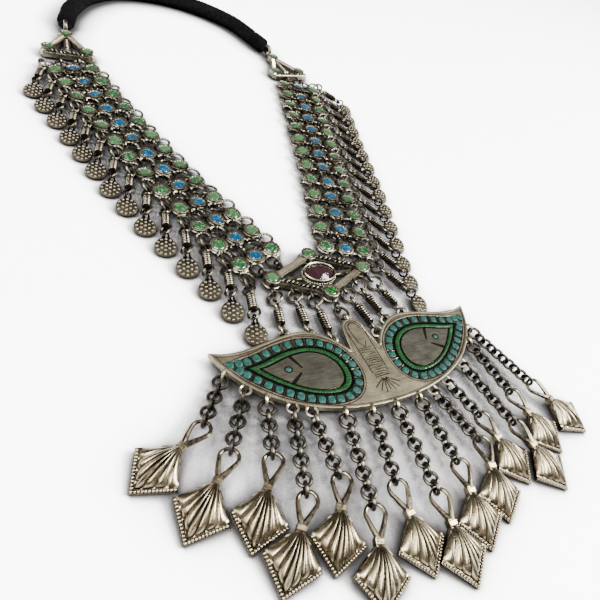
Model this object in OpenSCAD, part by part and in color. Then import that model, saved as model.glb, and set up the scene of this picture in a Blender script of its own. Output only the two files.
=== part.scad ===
// Nomad style silver necklace laid out on a flat surface. A short cord closes the loop behind
// the neck. Two straps of chain mesh carry enamelled cups and hold a lozenge frame between them.
// A paisley pendant hangs from the lozenge, with fourteen fluted drops on chains along its edge.
// The origin is on the surface, under the middle of the lozenge. +Y points to the cord.

/* [Straps] */
// Distance from one row of cups to the next
row_pitch = 10; // [9.8:0.1:10.1]
// Rows of cups in each strap
row_count = 13; // [12:1:13]
// Distance between the three columns of cups
column_pitch = 7.4; // [7.2:0.1:7.6]
// Radius of one enamelled cup
cup_r = 2.9; // [2.7:0.05:3]
// Height of the top of the cups over the surface
cup_top = 2.9; // [2.8:0.1:3]
// Thickness of the mesh wire
mesh_wire = 0.8; // [0.7:0.05:0.9]

/* [Centre frame] */
// Half the length of the lozenge, from its middle to its left corner
frame_half_l = 17.3; // [17:0.1:18]
// Half the height of the lozenge, from its middle to its top corner
frame_half_h = 8.5; // [8.3:0.1:9]
// Width of the bars of the lozenge and of the end plates
bar_w = 2.3; // [2:0.1:2.6]
// Half the length of the oval stone setting
bezel_half_l = 6.2; // [6:0.1:6.4]
// Half the height of the oval stone setting
bezel_half_h = 4.7; // [4.5:0.1:4.8]

/* [Pendant] */
// Half the span of the two wings
wing_span = 46.3; // [45:0.1:47]
// Thickness of the pendant plate
plate_t = 1.5; // [1.3:0.1:1.7]
// Width of the green enamel band round each teardrop
band_w = 2; // [1.8:0.1:2.2]
// Length of one turquoise enamel square along the edge of the teardrop
square_l = 2; // [1.8:0.1:2.1]

/* [Links] */
// Radius of the round chain links to the middle of the wire
link_r = 1.65; // [1.6:0.05:1.7]
// Thickness of the wire of the chain links
link_wire = 0.8; // [0.76:0.02:0.82]
// Radius of the jump rings to the middle of the wire
jump_r = 2.3; // [2.25:0.05:2.35]
// Outer diameter of a coil wound round a wire link
coil_d = 2.7; // [2.5:0.1:2.9]
// Radius of a granulated disc
disc_r = 3.4; // [3.3:0.05:3.45]

/* [Drops] */
// Length of a drop from its top corner to its tip
drop_l = 14.8; // [14:0.1:15.2]
// Width of a drop from corner to corner
drop_w = 13.8; // [13:0.1:14.4]
// Height of the puffed front of a drop over its back
drop_puff = 2.6; // [2.2:0.1:3]
// Flutes in the fan of a drop
flute_count = 7; // [6:1:8]

/* [Cord] */
// Diameter of the cord
cord_d = 7.4; // [7:0.1:7.6]

/* [Hidden] */
wire_sides = 20;
ring_sides = 40;
silver = [0.66, 0.63, 0.58];
green = [0.13, 0.46, 0.17];
turquoise = [0.20, 0.54, 0.52];
garnet_red = [0.30, 0.03, 0.09];
black = [0.05, 0.05, 0.05];

// The mesh lies on its rolled rings, so its wires stay clear of the surface
mesh_z = 1.35;
mesh_ring_r = 2.95;
edge_ring_r = 2.42;
edge_column = 9.4;
frame_z = 1;
frame_top = 3.3;
eyelet_r = 1.45;
eyelet_wire = 0.8;
eyelet_z = 1.9;
corner_cup_r = 2.7;

// One row for each strap: side, x and y of its first row, its angle there, its whole bend and the
// further turn of each dangle below its ring
STRAPS = [["left", 18, 11.2, 22.5, -11.5, 0.75], ["right", 16.8, 10.6, 18.6, -2.4, 0]];
LEFT = STRAPS[0];
RIGHT = STRAPS[1];
function side(s) = s[0];
function row_angle(s, k) = s[3] + s[4] * k / 12;
function heading(a) = [sin(a), cos(a)];
function across(a) = [cos(a), -sin(a)];
// Middle of row k, counted from the lozenge. Half rows lie midway
function row_point(s, k) =
    k < 0 ? [s[1], s[2]] + k * row_pitch * heading(row_angle(s, 0))
    : k < 1 ? [s[1], s[2]] + k * row_pitch * heading(row_angle(s, 0.5))
    : row_point(s, k - 1) + row_pitch * heading(row_angle(s, k - 0.5));
function strap_point(s, k, x) = row_point(s, k) + x * across(row_angle(s, k));

// Smaller rings at both ends of a strap, held by the frame and by the end plate
first_ring = -0.42;
last_ring = row_count - 0.58;
function end_ring(s, k, c) = strap_point(s, k, c * column_pitch / 2);

function mix(a, b, t) = a + (b - a) * t;
function bezier(p, t) =
    pow(1 - t, 3) * p[0] + 3 * t * pow(1 - t, 2) * p[1] + 3 * t * t * (1 - t) * p[2] + pow(t, 3) * p[3];
function unit(v) = v / norm(v);
// Angle of a direction in the plan, from +Y towards +X
function plan_angle(v) = atan2(v[0], v[1]);
// Repeatable scatter between -1 and 1 for the way loose pieces lie
function scatter(i) = sin(i * 137.5 + 40);

module on_side(name) {
    if (name == "left") mirror([1, 0, 0]) children();
    else children();
}

// Puts +Y of a piece along the plan direction with this angle
module aim(p, z, angle) {
    translate([p[0], p[1], z]) rotate([0, 0, -angle]) children();
}

// Ring in the XY plane, then rolled about its own Y axis
module wire_ring(r, wire, roll = 0) {
    rotate([0, roll, 0]) rotate_extrude($fn = ring_sides) translate([r, 0]) circle(d = wire, $fn = wire_sides);
}

module flat_ring(r, wire, z) {
    translate([0, 0, z]) difference() {
        cylinder(r = r + wire / 2, h = wire, $fn = ring_sides);
        translate([0, 0, -wire]) cylinder(r = r - wire / 2, h = 3 * wire, $fn = ring_sides);
    }
}

// Shallow cup with a raised wall that holds the enamel
module cup(r, bottom, top) {
    wall = 0.4;
    translate([0, 0, bottom]) difference() {
        cylinder(r = r, h = top - bottom, $fn = ring_sides);
        translate([0, 0, top - bottom - 0.35]) cylinder(r = r - wall, h = 1, $fn = ring_sides);
    }
}

// Straps

module strap(s) {
    on_side(side(s)) color(silver) union() {
        for (k = [0 : row_count - 1], c = [-1 : 1]) {
            p = strap_point(s, k, c * column_pitch);
            translate([p[0], p[1], 0]) {
                cup(cup_r, mesh_z, cup_top);
                translate([0, 0, mesh_z]) cylinder(r = cup_r + 0.4, h = mesh_wire, $fn = ring_sides);
            }
        }
        for (k = [1 : row_count - 1], c = [-1, 1]) {
            p = strap_point(s, k - 0.5, c * column_pitch / 2);
            translate([p[0], p[1], 0]) flat_ring(mesh_ring_r, mesh_wire, mesh_z);
        }
        for (c = [-1, 1], p = [end_ring(s, first_ring, c), end_ring(s, last_ring, c)])
            translate([p[0], p[1], 0]) flat_ring(edge_ring_r, mesh_wire, mesh_z);
        for (k = [0 : row_count], c = [-1, 1]) if (c > 0 || (k > 0 && k < row_count)) {
            p = strap_point(s, k - 0.5, c * edge_column);
            translate([p[0], p[1], 0]) flat_ring(edge_ring_r, mesh_wire, mesh_z);
        }
    }
}
module strap_left() { strap(LEFT); }
module strap_right() { strap(RIGHT); }

// Small soldered loop with a stem back to the bar or plate that carries it
module eyelet(p, angle, stem, z = eyelet_z, roll = 90) {
    aim(p, z, angle) {
        wire_ring(eyelet_r, eyelet_wire, roll);
        translate([0, eyelet_r, 0]) rotate([-90, 0, 0]) cylinder(d = eyelet_wire, h = stem, $fn = wire_sides);
    }
}

// Dangles. Each hangs by a jump ring from the outer edge of a strap: a wire link wound
// with a coil, then a disc with granulation

dangle_count = row_count + 1;
loop_r = 1.9;
loop_wire = 0.8;
coil_l = 7.30;
coil_reach = 1.3;
disc_loop_r = 1.45;
disc_t = 1;
disc_arm = disc_r + disc_loop_r - 0.25;
jump_wire = 0.9;
jump_z = 2.3;
edge_to_jump = 2.65;
jump_to_loop = 3.1;
loop_to_disc = 2.3;
coil_span = coil_l + 2 * coil_reach;
dangle_turn = 142.5;
grain_r = 0.75;

// Ways a jump ring and the dangle in it point, from +Y towards their own side
function jump_angle(s, i) = dangle_turn + row_angle(s, i - 0.5) + 1.3 * sin(45 * i);
function dangle_angle(s, i) = jump_angle(s, i) + s[5] * i;
function dangle_tilt(i) = 18 + 2 * scatter(i + 5);
function jump_point(s, i) = strap_point(s, i - 0.5, edge_column) + edge_to_jump * heading(jump_angle(s, i));
function dangle_end_z(i) =
    (disc_arm + disc_r) * sin(dangle_tilt(i)) + disc_t / 2 * cos(dangle_tilt(i)) + 0.02;
function dangle_point(s, i, along) = jump_point(s, i) + along * heading(dangle_angle(s, i));

// Wire link from loop to loop: a wound coil between two round loops, along +Y from the first loop
module coil_link(span, roll) {
    body = span - 2 * coil_reach;
    wire_ring(loop_r, loop_wire, roll);
    translate([0, span, 0]) wire_ring(loop_r, loop_wire, roll);
    translate([0, coil_reach, 0]) rotate([-90, 0, 0]) cylinder(d = coil_d, h = body, $fn = ring_sides);
}

// Round disc, flat behind, with a soldered loop at its top and a field of grains
module disc() {
    wire_ring(disc_loop_r, 0.7, 50);
    translate([0, disc_arm, -disc_t / 2]) {
        cylinder(r = disc_r, h = disc_t, $fn = ring_sides);
        translate([0, 0, disc_t]) {
            sphere(r = grain_r, $fn = wire_sides);
            for (a = [30 : 60 : 330]) rotate([0, 0, a])
                translate([disc_r * 0.56, 0, 0]) sphere(r = grain_r, $fn = wire_sides);
        }
    }
}

module dangle_rings(s) {
    on_side(side(s)) color(silver) for (i = [0 : dangle_count - 1])
        aim(jump_point(s, i), jump_z, jump_angle(s, i)) wire_ring(jump_r, jump_wire, 50);
}

module dangle_coils(s) {
    on_side(side(s)) color(silver) for (i = [0 : dangle_count - 1]) {
        rise = asin((dangle_end_z(i) - jump_z) / coil_span);
        aim(dangle_point(s, i, jump_to_loop), jump_z, dangle_angle(s, i))
            rotate([rise, 0, 0]) coil_link(coil_span, -40);
    }
}

module dangle_discs(s) {
    on_side(side(s)) color(silver) for (i = [0 : dangle_count - 1])
        aim(dangle_point(s, i, jump_to_loop + coil_span + loop_to_disc),
            dangle_end_z(i), dangle_angle(s, i))
            rotate([-dangle_tilt(i), 0, 0]) disc();
}
module dangle_rings_left() { dangle_rings(LEFT); }
module dangle_rings_right() { dangle_rings(RIGHT); }
module dangle_coils_left() { dangle_coils(LEFT); }
module dangle_coils_right() { dangle_coils(RIGHT); }
module dangle_discs_left() { dangle_discs(LEFT); }
module dangle_discs_right() { dangle_discs(RIGHT); }

// Bars

// Flat bar between two points of the plan
module flat_bar(a, b, w) {
    aim(a, frame_z, plan_angle(b - a)) translate([-w / 2, 0, 0]) cube([w, norm(b - a), frame_top - frame_z]);
}

// Bar with a row of beads along its top, as a twisted wire shows
module rope_bar(a, b, w) {
    bead_r = 0.8;
    beads = floor((norm(b - a) - 2 * corner_cup_r) / (1.7 * bead_r));
    flat_bar(a, b, w);
    for (i = [0 : beads]) {
        p = mix(a, b, 0.5) + (i - beads / 2) * 1.7 * bead_r * unit(b - a);
        translate([p[0], p[1], frame_top]) sphere(r = bead_r, $fn = wire_sides);
    }
}

// Lozenge

corner_left = [-frame_half_l, 0];
corner_top = [0, frame_half_h];
corner_right = [frame_half_l, 0];
corner_bottom = [0, -frame_half_h];
CORNERS = [corner_left, corner_top, corner_right, corner_bottom];
side_angle = atan2(frame_half_l, frame_half_h);
function oval(a, b) = [for (i = [0 : 47]) [a * cos(i * 7.5), b * sin(i * 7.5)]];
bezel_top = 4;
bezel_wall = 0.9;
stone_seat = 2.2;
stone_gap = 0.1;
ring_hold = 2.3;

// Loops over the lozenge that hold the lowest rings of one strap
module strap_eyelets(s) {
    inward = -heading(90 - side_angle);
    on_side(side(s)) for (c = [-1, 1]) {
        p = end_ring(s, first_ring, c) + ring_hold * inward;
        eyelet(p, plan_angle(inward), (corner_top - p) * inward - eyelet_r);
    }
}

module centre_frame() {
    color(silver) union() {
        flat_bar(corner_left, corner_top, bar_w);
        rope_bar(corner_top, corner_right, bar_w);
        flat_bar(corner_right, corner_bottom, bar_w);
        rope_bar(corner_bottom, corner_left, bar_w);
        for (c = CORNERS) translate([c[0], c[1], 0]) cup(corner_cup_r, frame_z, frame_top + 0.7);
        difference() {
            linear_extrude(bezel_top) polygon(oval(bezel_half_l, bezel_half_h));
            translate([0, 0, stone_seat]) linear_extrude(bezel_top)
                polygon(oval(bezel_half_l - bezel_wall, bezel_half_h - bezel_wall));
        }
        // Stays between the setting and the frame
        translate([-frame_half_l, -0.8, frame_z]) cube([frame_half_l - bezel_half_l + 1, 1.6, 1.2]);
        translate([bezel_half_l - 1, -0.8, frame_z]) cube([frame_half_l - bezel_half_l + 1, 1.6, 1.2]);
        translate([-0.8, bezel_half_h - 1, frame_z]) cube([1.6, frame_half_h - bezel_half_h + 1, 1.2]);
        translate([-0.8, -frame_half_h, frame_z]) cube([1.6, frame_half_h - bezel_half_h + 1, 1.2]);
        strap_eyelets(LEFT);
        strap_eyelets(RIGHT);
        for (h = HANGERS) eyelet(hanger_top(h), plan_angle(hanger_foot(h) - hanger_top(h)) + 180, 1.4,
            roll = 50);
        eyelet([0, middle_ring_y + ring_to_eyelet], 0, 2.6);
    }
}

// Faceted oval stone: a flat table, eight crown facets and eight below the girdle
module garnet() {
    a = bezel_half_l - bezel_wall - stone_gap;
    b = bezel_half_h - bezel_wall - stone_gap;
    function ring(k, z, turn) = [for (i = [0 : 7]) [k * a * cos(45 * i + turn), k * b * sin(45 * i + turn), z]];
    points = concat(ring(0.55, stone_seat + 2.4, 0), ring(1, stone_seat + 1.3, 22.5),
        ring(0.6, stone_seat + stone_gap, 0));
    faces = concat([[7, 6, 5, 4, 3, 2, 1, 0]], [for (i = [0 : 7]) [i, (i + 1) % 8, 8 + i]],
        [for (i = [0 : 7]) [8 + i, (i + 1) % 8, 8 + (i + 1) % 8]],
        [for (i = [0 : 7]) [8 + i, 16 + (i + 1) % 8, 16 + i]],
        [for (i = [0 : 7]) [8 + i, 8 + (i + 1) % 8, 16 + (i + 1) % 8]],
        [[16, 17, 18, 19, 20, 21, 22, 23]]);
    color(garnet_red) polyhedron(points, faces);
}

// End plates

plate_base_half = 9.5;
plate_cup_x = 7.5;
plate_cup_y = 3.7;
plate_apex_y = 18.3;
bail_y = plate_apex_y + 6;
bail_r = 2.4;
bail_wire = 1.6;
bail_z = 3.3;
plate_turn = -7;
function plate_point(s) = row_point(s, row_count - 1) + [0.5, row_pitch + 1];

// Triangle of bars with a cup at each corner and a bail for the cord
module end_plate(s) {
    low_l = [-plate_base_half, 0];
    low_r = [plate_base_half, 0];
    apex = [0, plate_apex_y];
    on_side(side(s)) color(silver) union() {
        aim(plate_point(s), 0, plate_turn) {
            rope_bar(low_l, low_r, bar_w);
            flat_bar(low_l, apex, bar_w);
            flat_bar(low_r, apex, bar_w);
            for (x = [-plate_cup_x, plate_cup_x])
                translate([x, plate_cup_y, 0]) cup(corner_cup_r, frame_z, frame_top + 0.5);
            translate([0, plate_apex_y, 0]) cup(corner_cup_r, frame_z, frame_top + 0.5);
            translate([-1.2, plate_cup_y, frame_z]) cube([2.4, plate_apex_y - plate_cup_y, 1.4]);
            translate([0, bail_y, bail_z]) wire_ring(bail_r, bail_wire, 90);
            translate([-0.8, plate_apex_y, frame_z]) cube([1.6, bail_y - bail_r - plate_apex_y + 0.4, 2.4]);
        }
        outward = heading(plate_turn);
        for (c = [-1, 1]) {
            p = end_ring(s, last_ring, c) + ring_hold * outward;
            eyelet(p, plate_turn, (plate_point(s) - p) * outward - eyelet_r);
        }
    }
}
module end_plate_left() { end_plate(LEFT); }
module end_plate_right() { end_plate(RIGHT); }

// Pendant

plate_z = 1.7;
plate_top = plate_z + plate_t;
groove = 0.35;
inlay_gap = 0.14;
finger_r = 3.9;
finger_y = -23.9;
curve_steps = 14;
LOWER_EDGE = [[0, -49.8], [22, -49.8], [41, -41], [wing_span, -22.8]];
WING_TIP = [[wing_span, -22.8], [38, -26.5], [29, -21.4], [19.5, -21.4]];
WING_ROOT = [[19.5, -21.4], [13.5, -21.4], [8, -26], [5, -31.5]];
TEARDROP = [
    [[38.4, -29.4], [33.5, -29.3], [28, -26.4], [21.5, -26.4]],
    [[21.5, -26.4], [14, -26.4], [8.8, -31], [8.8, -37]],
    [[8.8, -37], [8.8, -41], [11.2, -43.4], [15, -43.4]],
    [[15, -43.4], [23.5, -43.4], [32, -37], [38.4, -29.4]]];
function run(p, n) = [for (i = [0 : n - 1]) bezier(p, i / n)];
function wing_half() = concat(run(LOWER_EDGE, 2 * curve_steps), run(WING_TIP, curve_steps),
    run(WING_ROOT, curve_steps), [[5, -31.5]],
    [for (a = [0 : 15 : 75]) [finger_r * cos(a), finger_y + finger_r * sin(a)]]);
function mirrored(points) = [for (i = [len(points) - 1 : -1 : 0]) [-points[i][0], points[i][1]]];
function pendant_outline() =
    let (half = wing_half())
    concat(half, [[0, finger_y + finger_r]], [for (p = mirrored(half)) if (p[0] < -0.001) p]);
function teardrop() = [for (part = TEARDROP) for (p = run(part, curve_steps)) p];
// Closed curve moved outwards by a distance, with its corners kept sharp
function moved(points, d) = [for (i = [0 : len(points) - 1])
    let (n = len(points), a = unit(points[i] - points[(i + n - 1) % n]),
        b = unit(points[(i + 1) % n] - points[i]), t = unit(a + b))
    points[i] + d / max(t * b, 0.6) * [t[1], -t[0]]];
// The same curve drawn in towards its middle
function drawn_in(points, k) = [for (p = points) mix([20.5, -35.4], p, k)];

module both_wings() {
    children();
    mirror([1, 0, 0]) children();
}

// Ring between two closed curves
module between(inner, outer, z, h) {
    translate([0, 0, z]) linear_extrude(h) difference() {
        polygon(outer);
        polygon(inner);
    }
}
square_in = 0.4;
square_out = 3;
// Squares along each of the four curves of a teardrop
SQUARES = [5, 7, 4, 10];
// Squares past the point of a teardrop. Columns: x, y, x and y of its way
TIP_SQUARES = [[40.1, -30, 0.65, 0.76], [41.7, -27.7, 0.92, 0.4], [39.3, -27.8, -1, 0.04]];
band_inner = 1 - band_w / 8;

module pendant_plate() {
    color(silver) union() {
        difference() {
            translate([0, 0, plate_z]) linear_extrude(plate_t) polygon(pendant_outline());
            both_wings() {
                between(drawn_in(teardrop(), band_inner), teardrop(), plate_top - groove, 1);
                between(moved(teardrop(), square_in), moved(teardrop(), square_out), plate_top - groove, 1);
            }
        }
        for (d = DROPS) eyelet(lug_point(d), plan_angle(lug_point(d) - bail_point(d)), 1.2, lug_z,
            90 - ring_roll(d, 0));
        for (h = HANGERS) eyelet(hanger_foot(h), plan_angle(hanger_foot(h) - hanger_top(h)), 1.4, roll = 40);
        eyelet([0, finger_y + finger_r + 0.9], 180, 1.4);
    }
}

module pendant_green() {
    inner = moved(drawn_in(teardrop(), band_inner), inlay_gap);
    color(green) both_wings()
        between(inner, moved(teardrop(), -inlay_gap), plate_top - groove + inlay_gap, 0.55);
}

// Thin turquoise ring with a raised square for each cell, cut to the shape of the ring
module pendant_turquoise() {
    base = plate_top - groove + inlay_gap;
    inner = moved(teardrop(), square_in + inlay_gap);
    outer = moved(teardrop(), square_out - inlay_gap);
    color(turquoise) both_wings() {
        between(inner, outer, base, 0.2);
        intersection() {
            between(inner, outer, base, 0.42);
            union() {
                for (part = [0 : 3], i = [0 : SQUARES[part] - 1]) {
                    u = (i + 0.5) / SQUARES[part];
                    p = bezier(TEARDROP[part], u);
                    t = unit(bezier(TEARDROP[part], u + 0.01) - p);
                    square_at(p + (square_in + square_out) / 2 * [t[1], -t[0]], t, base);
                }
                for (c = TIP_SQUARES) square_at([c[0], c[1]], [c[2], c[3]], base);
            }
        }
    }
}
module square_at(p, way, base) {
    aim(p, base - 0.1, plan_angle(way)) translate([-1.15, -square_l / 2, 0]) cube([2.3, square_l, 1]);
}

// Hangers. Columns: x and y of the loop on the lozenge, x and y of the loop on the pendant
HANGERS = [[-18.6, -4.4, -22.5, -20.5], [-12, -4.8, -14.5, -21.9], [-6.2, -7.7, -8.4, -25.9],
    [6.2, -7.7, 8.4, -25.9], [12, -4.8, 14.5, -21.9], [18.6, -4.4, 22.5, -20.5]];
ring_to_eyelet = 2.45;
loop_to_eyelet = 2.05;
middle_ring_y = finger_y + finger_r + 0.9 + ring_to_eyelet;
function hanger_top(h) = [h[0], h[1]];
function hanger_foot(h) = [h[2], h[3]];

module hanger_links() {
    color(silver) {
        translate([0, middle_ring_y, eyelet_z]) wire_ring(jump_r, jump_wire);
        for (h = HANGERS) {
            top = hanger_top(h);
            foot = hanger_foot(h);
            span = norm(foot - top) - ring_to_eyelet - jump_to_loop - loop_to_eyelet;
            aim(top, eyelet_z + 0.1, plan_angle(foot - top)) {
                translate([0, ring_to_eyelet, 0]) wire_ring(jump_r, jump_wire, 40);
                translate([0, ring_to_eyelet + jump_to_loop, 0]) coil_link(span, -50);
            }
        }
    }
}

// Chains and drops. Columns: place of the lug along the lower edge, from -1 at the left tip to 1
// at the right tip, way the chain runs, number of its round links, and way the drop points
DROPS = [
    [-0.87, 219, 5, 244.5], [-0.747, 213.5, 6, 226], [-0.639, 199, 5, 215], [-0.513, 198, 8, 219],
    [-0.424, 186, 6, 210], [-0.266, 195, 9, 201], [-0.135, 196, 7, 182], [-0.012, 190, 9, 184],
    [0.119, 186, 7, 189], [0.213, 171.5, 6, 193], [0.326, 172.5, 4, 169.5], [0.509, 176, 8, 167],
    [0.706, 180, 7, 165], [0.82, 166, 9, 151.5]];
function lug_place(d) = d[0];
function chain_way(d) = d[1];
function link_count(d) = d[2];
function drop_way(d) = d[3];
drop_bail_r = 2.3;
drop_bail_wire = 1;
drop_back = 0.9;
drop_tilt = 8;
kite_top = drop_bail_r + 3.4;
kite_wide = kite_top + 0.5 * drop_l;
kite_tip = kite_top + drop_l;
drop_bail_z = kite_tip * sin(drop_tilt) + drop_back * cos(drop_tilt) + 0.02;
lug_z = plate_z + plate_t / 2;

// A chain has one jump ring at the lug and then round links up to the bail of the drop
link_play = 0.12;
chain_ring_r = jump_r - 0.3;
function linked(r_a, wire_a, r_b, wire_b) = r_a + r_b - (wire_a + wire_b) / 2 - link_play;
lug_step = linked(eyelet_r, eyelet_wire, chain_ring_r, jump_wire);
ring_step = linked(chain_ring_r, jump_wire, link_r, link_wire);
link_step = linked(link_r, link_wire, link_r, link_wire);
bail_step = linked(link_r, link_wire, drop_bail_r, drop_bail_wire) - 0.2;
chain_roll = 12;
function chain_l(d) = lug_step + ring_step + (link_count(d) - 1) * link_step + bail_step;
function lug_point(d) =
    let (u = abs(lug_place(d)), e = bezier(LOWER_EDGE, u), t = unit(bezier(LOWER_EDGE, u + 0.01) - e))
    [(lug_place(d) < 0 ? -1 : 1) * (e[0] + 0.9 * t[1]), e[1] - 0.9 * t[0]];
function bail_point(d) = lug_point(d) + chain_l(d) * heading(chain_way(d));
function ring_roll(d, i) = (link_count(d) - i) % 2 == 0 ? chain_roll - 90 : chain_roll;

module chain(d) {
    n = link_count(d);
    slope = atan((drop_bail_z - lug_z) / chain_l(d));
    color(silver) for (i = [0 : n]) {
        along = i == 0 ? lug_step : lug_step + ring_step + (i - 1) * link_step;
        aim(lug_point(d) + along * heading(chain_way(d)), mix(lug_z, drop_bail_z, along / chain_l(d)),
            chain_way(d))
            rotate([slope, 0, 0])
                wire_ring(i == 0 ? chain_ring_r : link_r, i == 0 ? jump_wire : link_wire, ring_roll(d, i));
    }
}

// Puffed body of a drop, flat behind. u runs from the bail to the two lower edges, v runs across
// the fan from the left corner to the right corner
RADIAL = [0.08, 0.2, 0.34, 0.5, 0.66, 0.8, 0.9, 1];
rim_start = 0.9;
function kite_edge(v) = v < 0.5 ? mix([-drop_w / 2, kite_wide], [0, kite_tip], 2 * v)
    : mix([0, kite_tip], [drop_w / 2, kite_wide], 2 * v - 1);
function puff(u, v) =
    let (flute = 0.5 - 0.5 * cos(360 * flute_count * v), body = sin(180 * min(1, u / rim_start)))
    drop_puff * sqrt(max(body, 0)) * sqrt(max(sin(180 * v), 0)) * (0.8 + 0.2 * flute);

module drop_body() {
    nu = len(RADIAL) - 1;
    nv = 4 * flute_count;
    m = (nu + 1) * (nv + 1);
    function at(i, j) = i * (nv + 1) + j;
    over = [for (u = RADIAL, j = [0 : nv]) let (p = mix([0, kite_top], kite_edge(j / nv), u))
        [p[0], p[1], puff(u, j / nv)]];
    under = [for (p = over) [p[0], p[1], -drop_back]];
    front = [for (i = [0 : nu - 1], j = [0 : nv - 1]) each
        [[at(i, j), at(i + 1, j), at(i + 1, j + 1)], [at(i, j), at(i + 1, j + 1), at(i, j + 1)]]];
    rim = concat([for (j = [0 : nv - 1]) at(0, j)], [for (i = [0 : nu - 1]) at(i, nv)],
        [for (j = [nv : -1 : 1]) at(nu, j)], [for (i = [nu : -1 : 1]) at(i, 0)]);
    walls = [for (k = [0 : len(rim) - 1]) let (a = rim[k], b = rim[(k + 1) % len(rim)]) [a, b, b + m, a + m]];
    back = [for (k = [0 : len(rim) - 1]) [rim[k] + m, rim[(k + 1) % len(rim)] + m, 2 * m]];
    polyhedron(concat(over, under, [[0, kite_wide, -drop_back]]), concat(front, walls, back));
}

module drop(d) {
    color(silver) aim(bail_point(d), drop_bail_z, drop_way(d)) {
        wire_ring(drop_bail_r, drop_bail_wire, chain_roll);
        rotate([-drop_tilt, 0, 0]) {
            translate([0, drop_bail_r - 0.2, 0]) rotate([-90, 0, 0])
                cylinder(r = 1.1, h = 5, $fn = ring_sides);
            drop_body();
        }
    }
}

module chain_1() { chain(DROPS[0]); }
module chain_2() { chain(DROPS[1]); }
module chain_3() { chain(DROPS[2]); }
module chain_4() { chain(DROPS[3]); }
module chain_5() { chain(DROPS[4]); }
module chain_6() { chain(DROPS[5]); }
module chain_7() { chain(DROPS[6]); }
module chain_8() { chain(DROPS[7]); }
module chain_9() { chain(DROPS[8]); }
module chain_10() { chain(DROPS[9]); }
module chain_11() { chain(DROPS[10]); }
module chain_12() { chain(DROPS[11]); }
module chain_13() { chain(DROPS[12]); }
module chain_14() { chain(DROPS[13]); }
module drop_1() { drop(DROPS[0]); }
module drop_2() { drop(DROPS[1]); }
module drop_3() { drop(DROPS[2]); }
module drop_4() { drop(DROPS[3]); }
module drop_5() { drop(DROPS[4]); }
module drop_6() { drop(DROPS[5]); }
module drop_7() { drop(DROPS[6]); }
module drop_8() { drop(DROPS[7]); }
module drop_9() { drop(DROPS[8]); }
module drop_10() { drop(DROPS[9]); }
module drop_11() { drop(DROPS[10]); }
module drop_12() { drop(DROPS[11]); }
module drop_13() { drop(DROPS[12]); }
module drop_14() { drop(DROPS[13]); }

// Cord. Its bound ends carry a small loop through each bail

end_turn = -17;
end_loop_r = 2.1;
end_loop_wire = 1.6;
end_loop_y = bail_y + 2.6;
binding_start = 1.9;
binding_l = 8;
cord_z = cord_d / 2 + 0.05;

module cord_end(s) {
    loop_at = plate_point(s) + end_loop_y * heading(plate_turn);
    on_side(side(s)) color(black) {
        aim(loop_at, bail_z, end_turn) wire_ring(end_loop_r, end_loop_wire);
        aim(loop_at + binding_start * heading(end_turn), cord_z, end_turn)
            rotate([-90, 0, 0]) cylinder(d = cord_d, h = binding_l, $fn = ring_sides);
    }
}
module cord_end_left() { cord_end(LEFT); }
module cord_end_right() { cord_end(RIGHT); }

// Plan points of the cord from its left end round the back of the neck to its right end. Both end
// stretches run straight on from the bindings
CORD_ROUTE = [[-46.8, 173.4], [-45.3, 178.2], [-37, 192.8], [-29.5, 201], [-20, 207.8], [-8, 211.5],
    [5, 211.8], [17, 208.7], [27.5, 202.8], [35.5, 195.8], [41.5, 188], [45.5, 177.3], [46.9, 172.5]];
cord_sides = 12;
cord_steps = 3;
function spline(p, i, t) =
    let (a = p[max(i - 1, 0)], b = p[i], c = p[i + 1], d = p[min(i + 2, len(p) - 1)])
    0.5 * (2 * b + (c - a) * t + (2 * a - 5 * b + 4 * c - d) * t * t + (3 * b - a - 3 * c + d) * t * t * t);
function cord_path() = concat([for (i = [0 : len(CORD_ROUTE) - 2], j = [0 : cord_steps - 1])
    spline(CORD_ROUTE, i, j / cord_steps)], [CORD_ROUTE[len(CORD_ROUTE) - 1]]);

module cord() {
    path = cord_path();
    n = len(path);
    m = len(CORD_ROUTE);
    function way(i) = i == 0 ? CORD_ROUTE[1] - CORD_ROUTE[0]
        : i == n - 1 ? CORD_ROUTE[m - 1] - CORD_ROUTE[m - 2] : path[i + 1] - path[i - 1];
    points = [for (i = [0 : n - 1]) let (t = unit(way(i)))
        for (k = [0 : cord_sides - 1]) let (a = 360 * k / cord_sides, r = cord_d / 2)
        [path[i][0] + r * cos(a) * t[1], path[i][1] - r * cos(a) * t[0], cord_z + r * sin(a)]];
    walls = [for (i = [0 : n - 2], k = [0 : cord_sides - 1]) let (q = (k + 1) % cord_sides)
        [i * cord_sides + k, i * cord_sides + q, (i + 1) * cord_sides + q, (i + 1) * cord_sides + k]];
    first = [for (k = [cord_sides - 1 : -1 : 0]) k];
    last = [for (k = [0 : cord_sides - 1]) (n - 1) * cord_sides + k];
    color(black) polyhedron(points, concat(walls, [first], [last]));
}

strap_left();
strap_right();
dangle_rings_left();
dangle_rings_right();
dangle_coils_left();
dangle_coils_right();
dangle_discs_left();
dangle_discs_right();
centre_frame();
garnet();
end_plate_left();
end_plate_right();
pendant_plate();
pendant_green();
pendant_turquoise();
hanger_links();
chain_1();
chain_2();
chain_3();
chain_4();
chain_5();
chain_6();
chain_7();
chain_8();
chain_9();
chain_10();
chain_11();
chain_12();
chain_13();
chain_14();
drop_1();
drop_2();
drop_3();
drop_4();
drop_5();
drop_6();
drop_7();
drop_8();
drop_9();
drop_10();
drop_11();
drop_12();
drop_13();
drop_14();
cord_end_left();
cord_end_right();
cord();
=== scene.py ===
import math

import bpy
import numpy as np
from mathutils import Matrix, Vector
from mathutils.geometry import tessellate_polygon as tessellate


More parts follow.
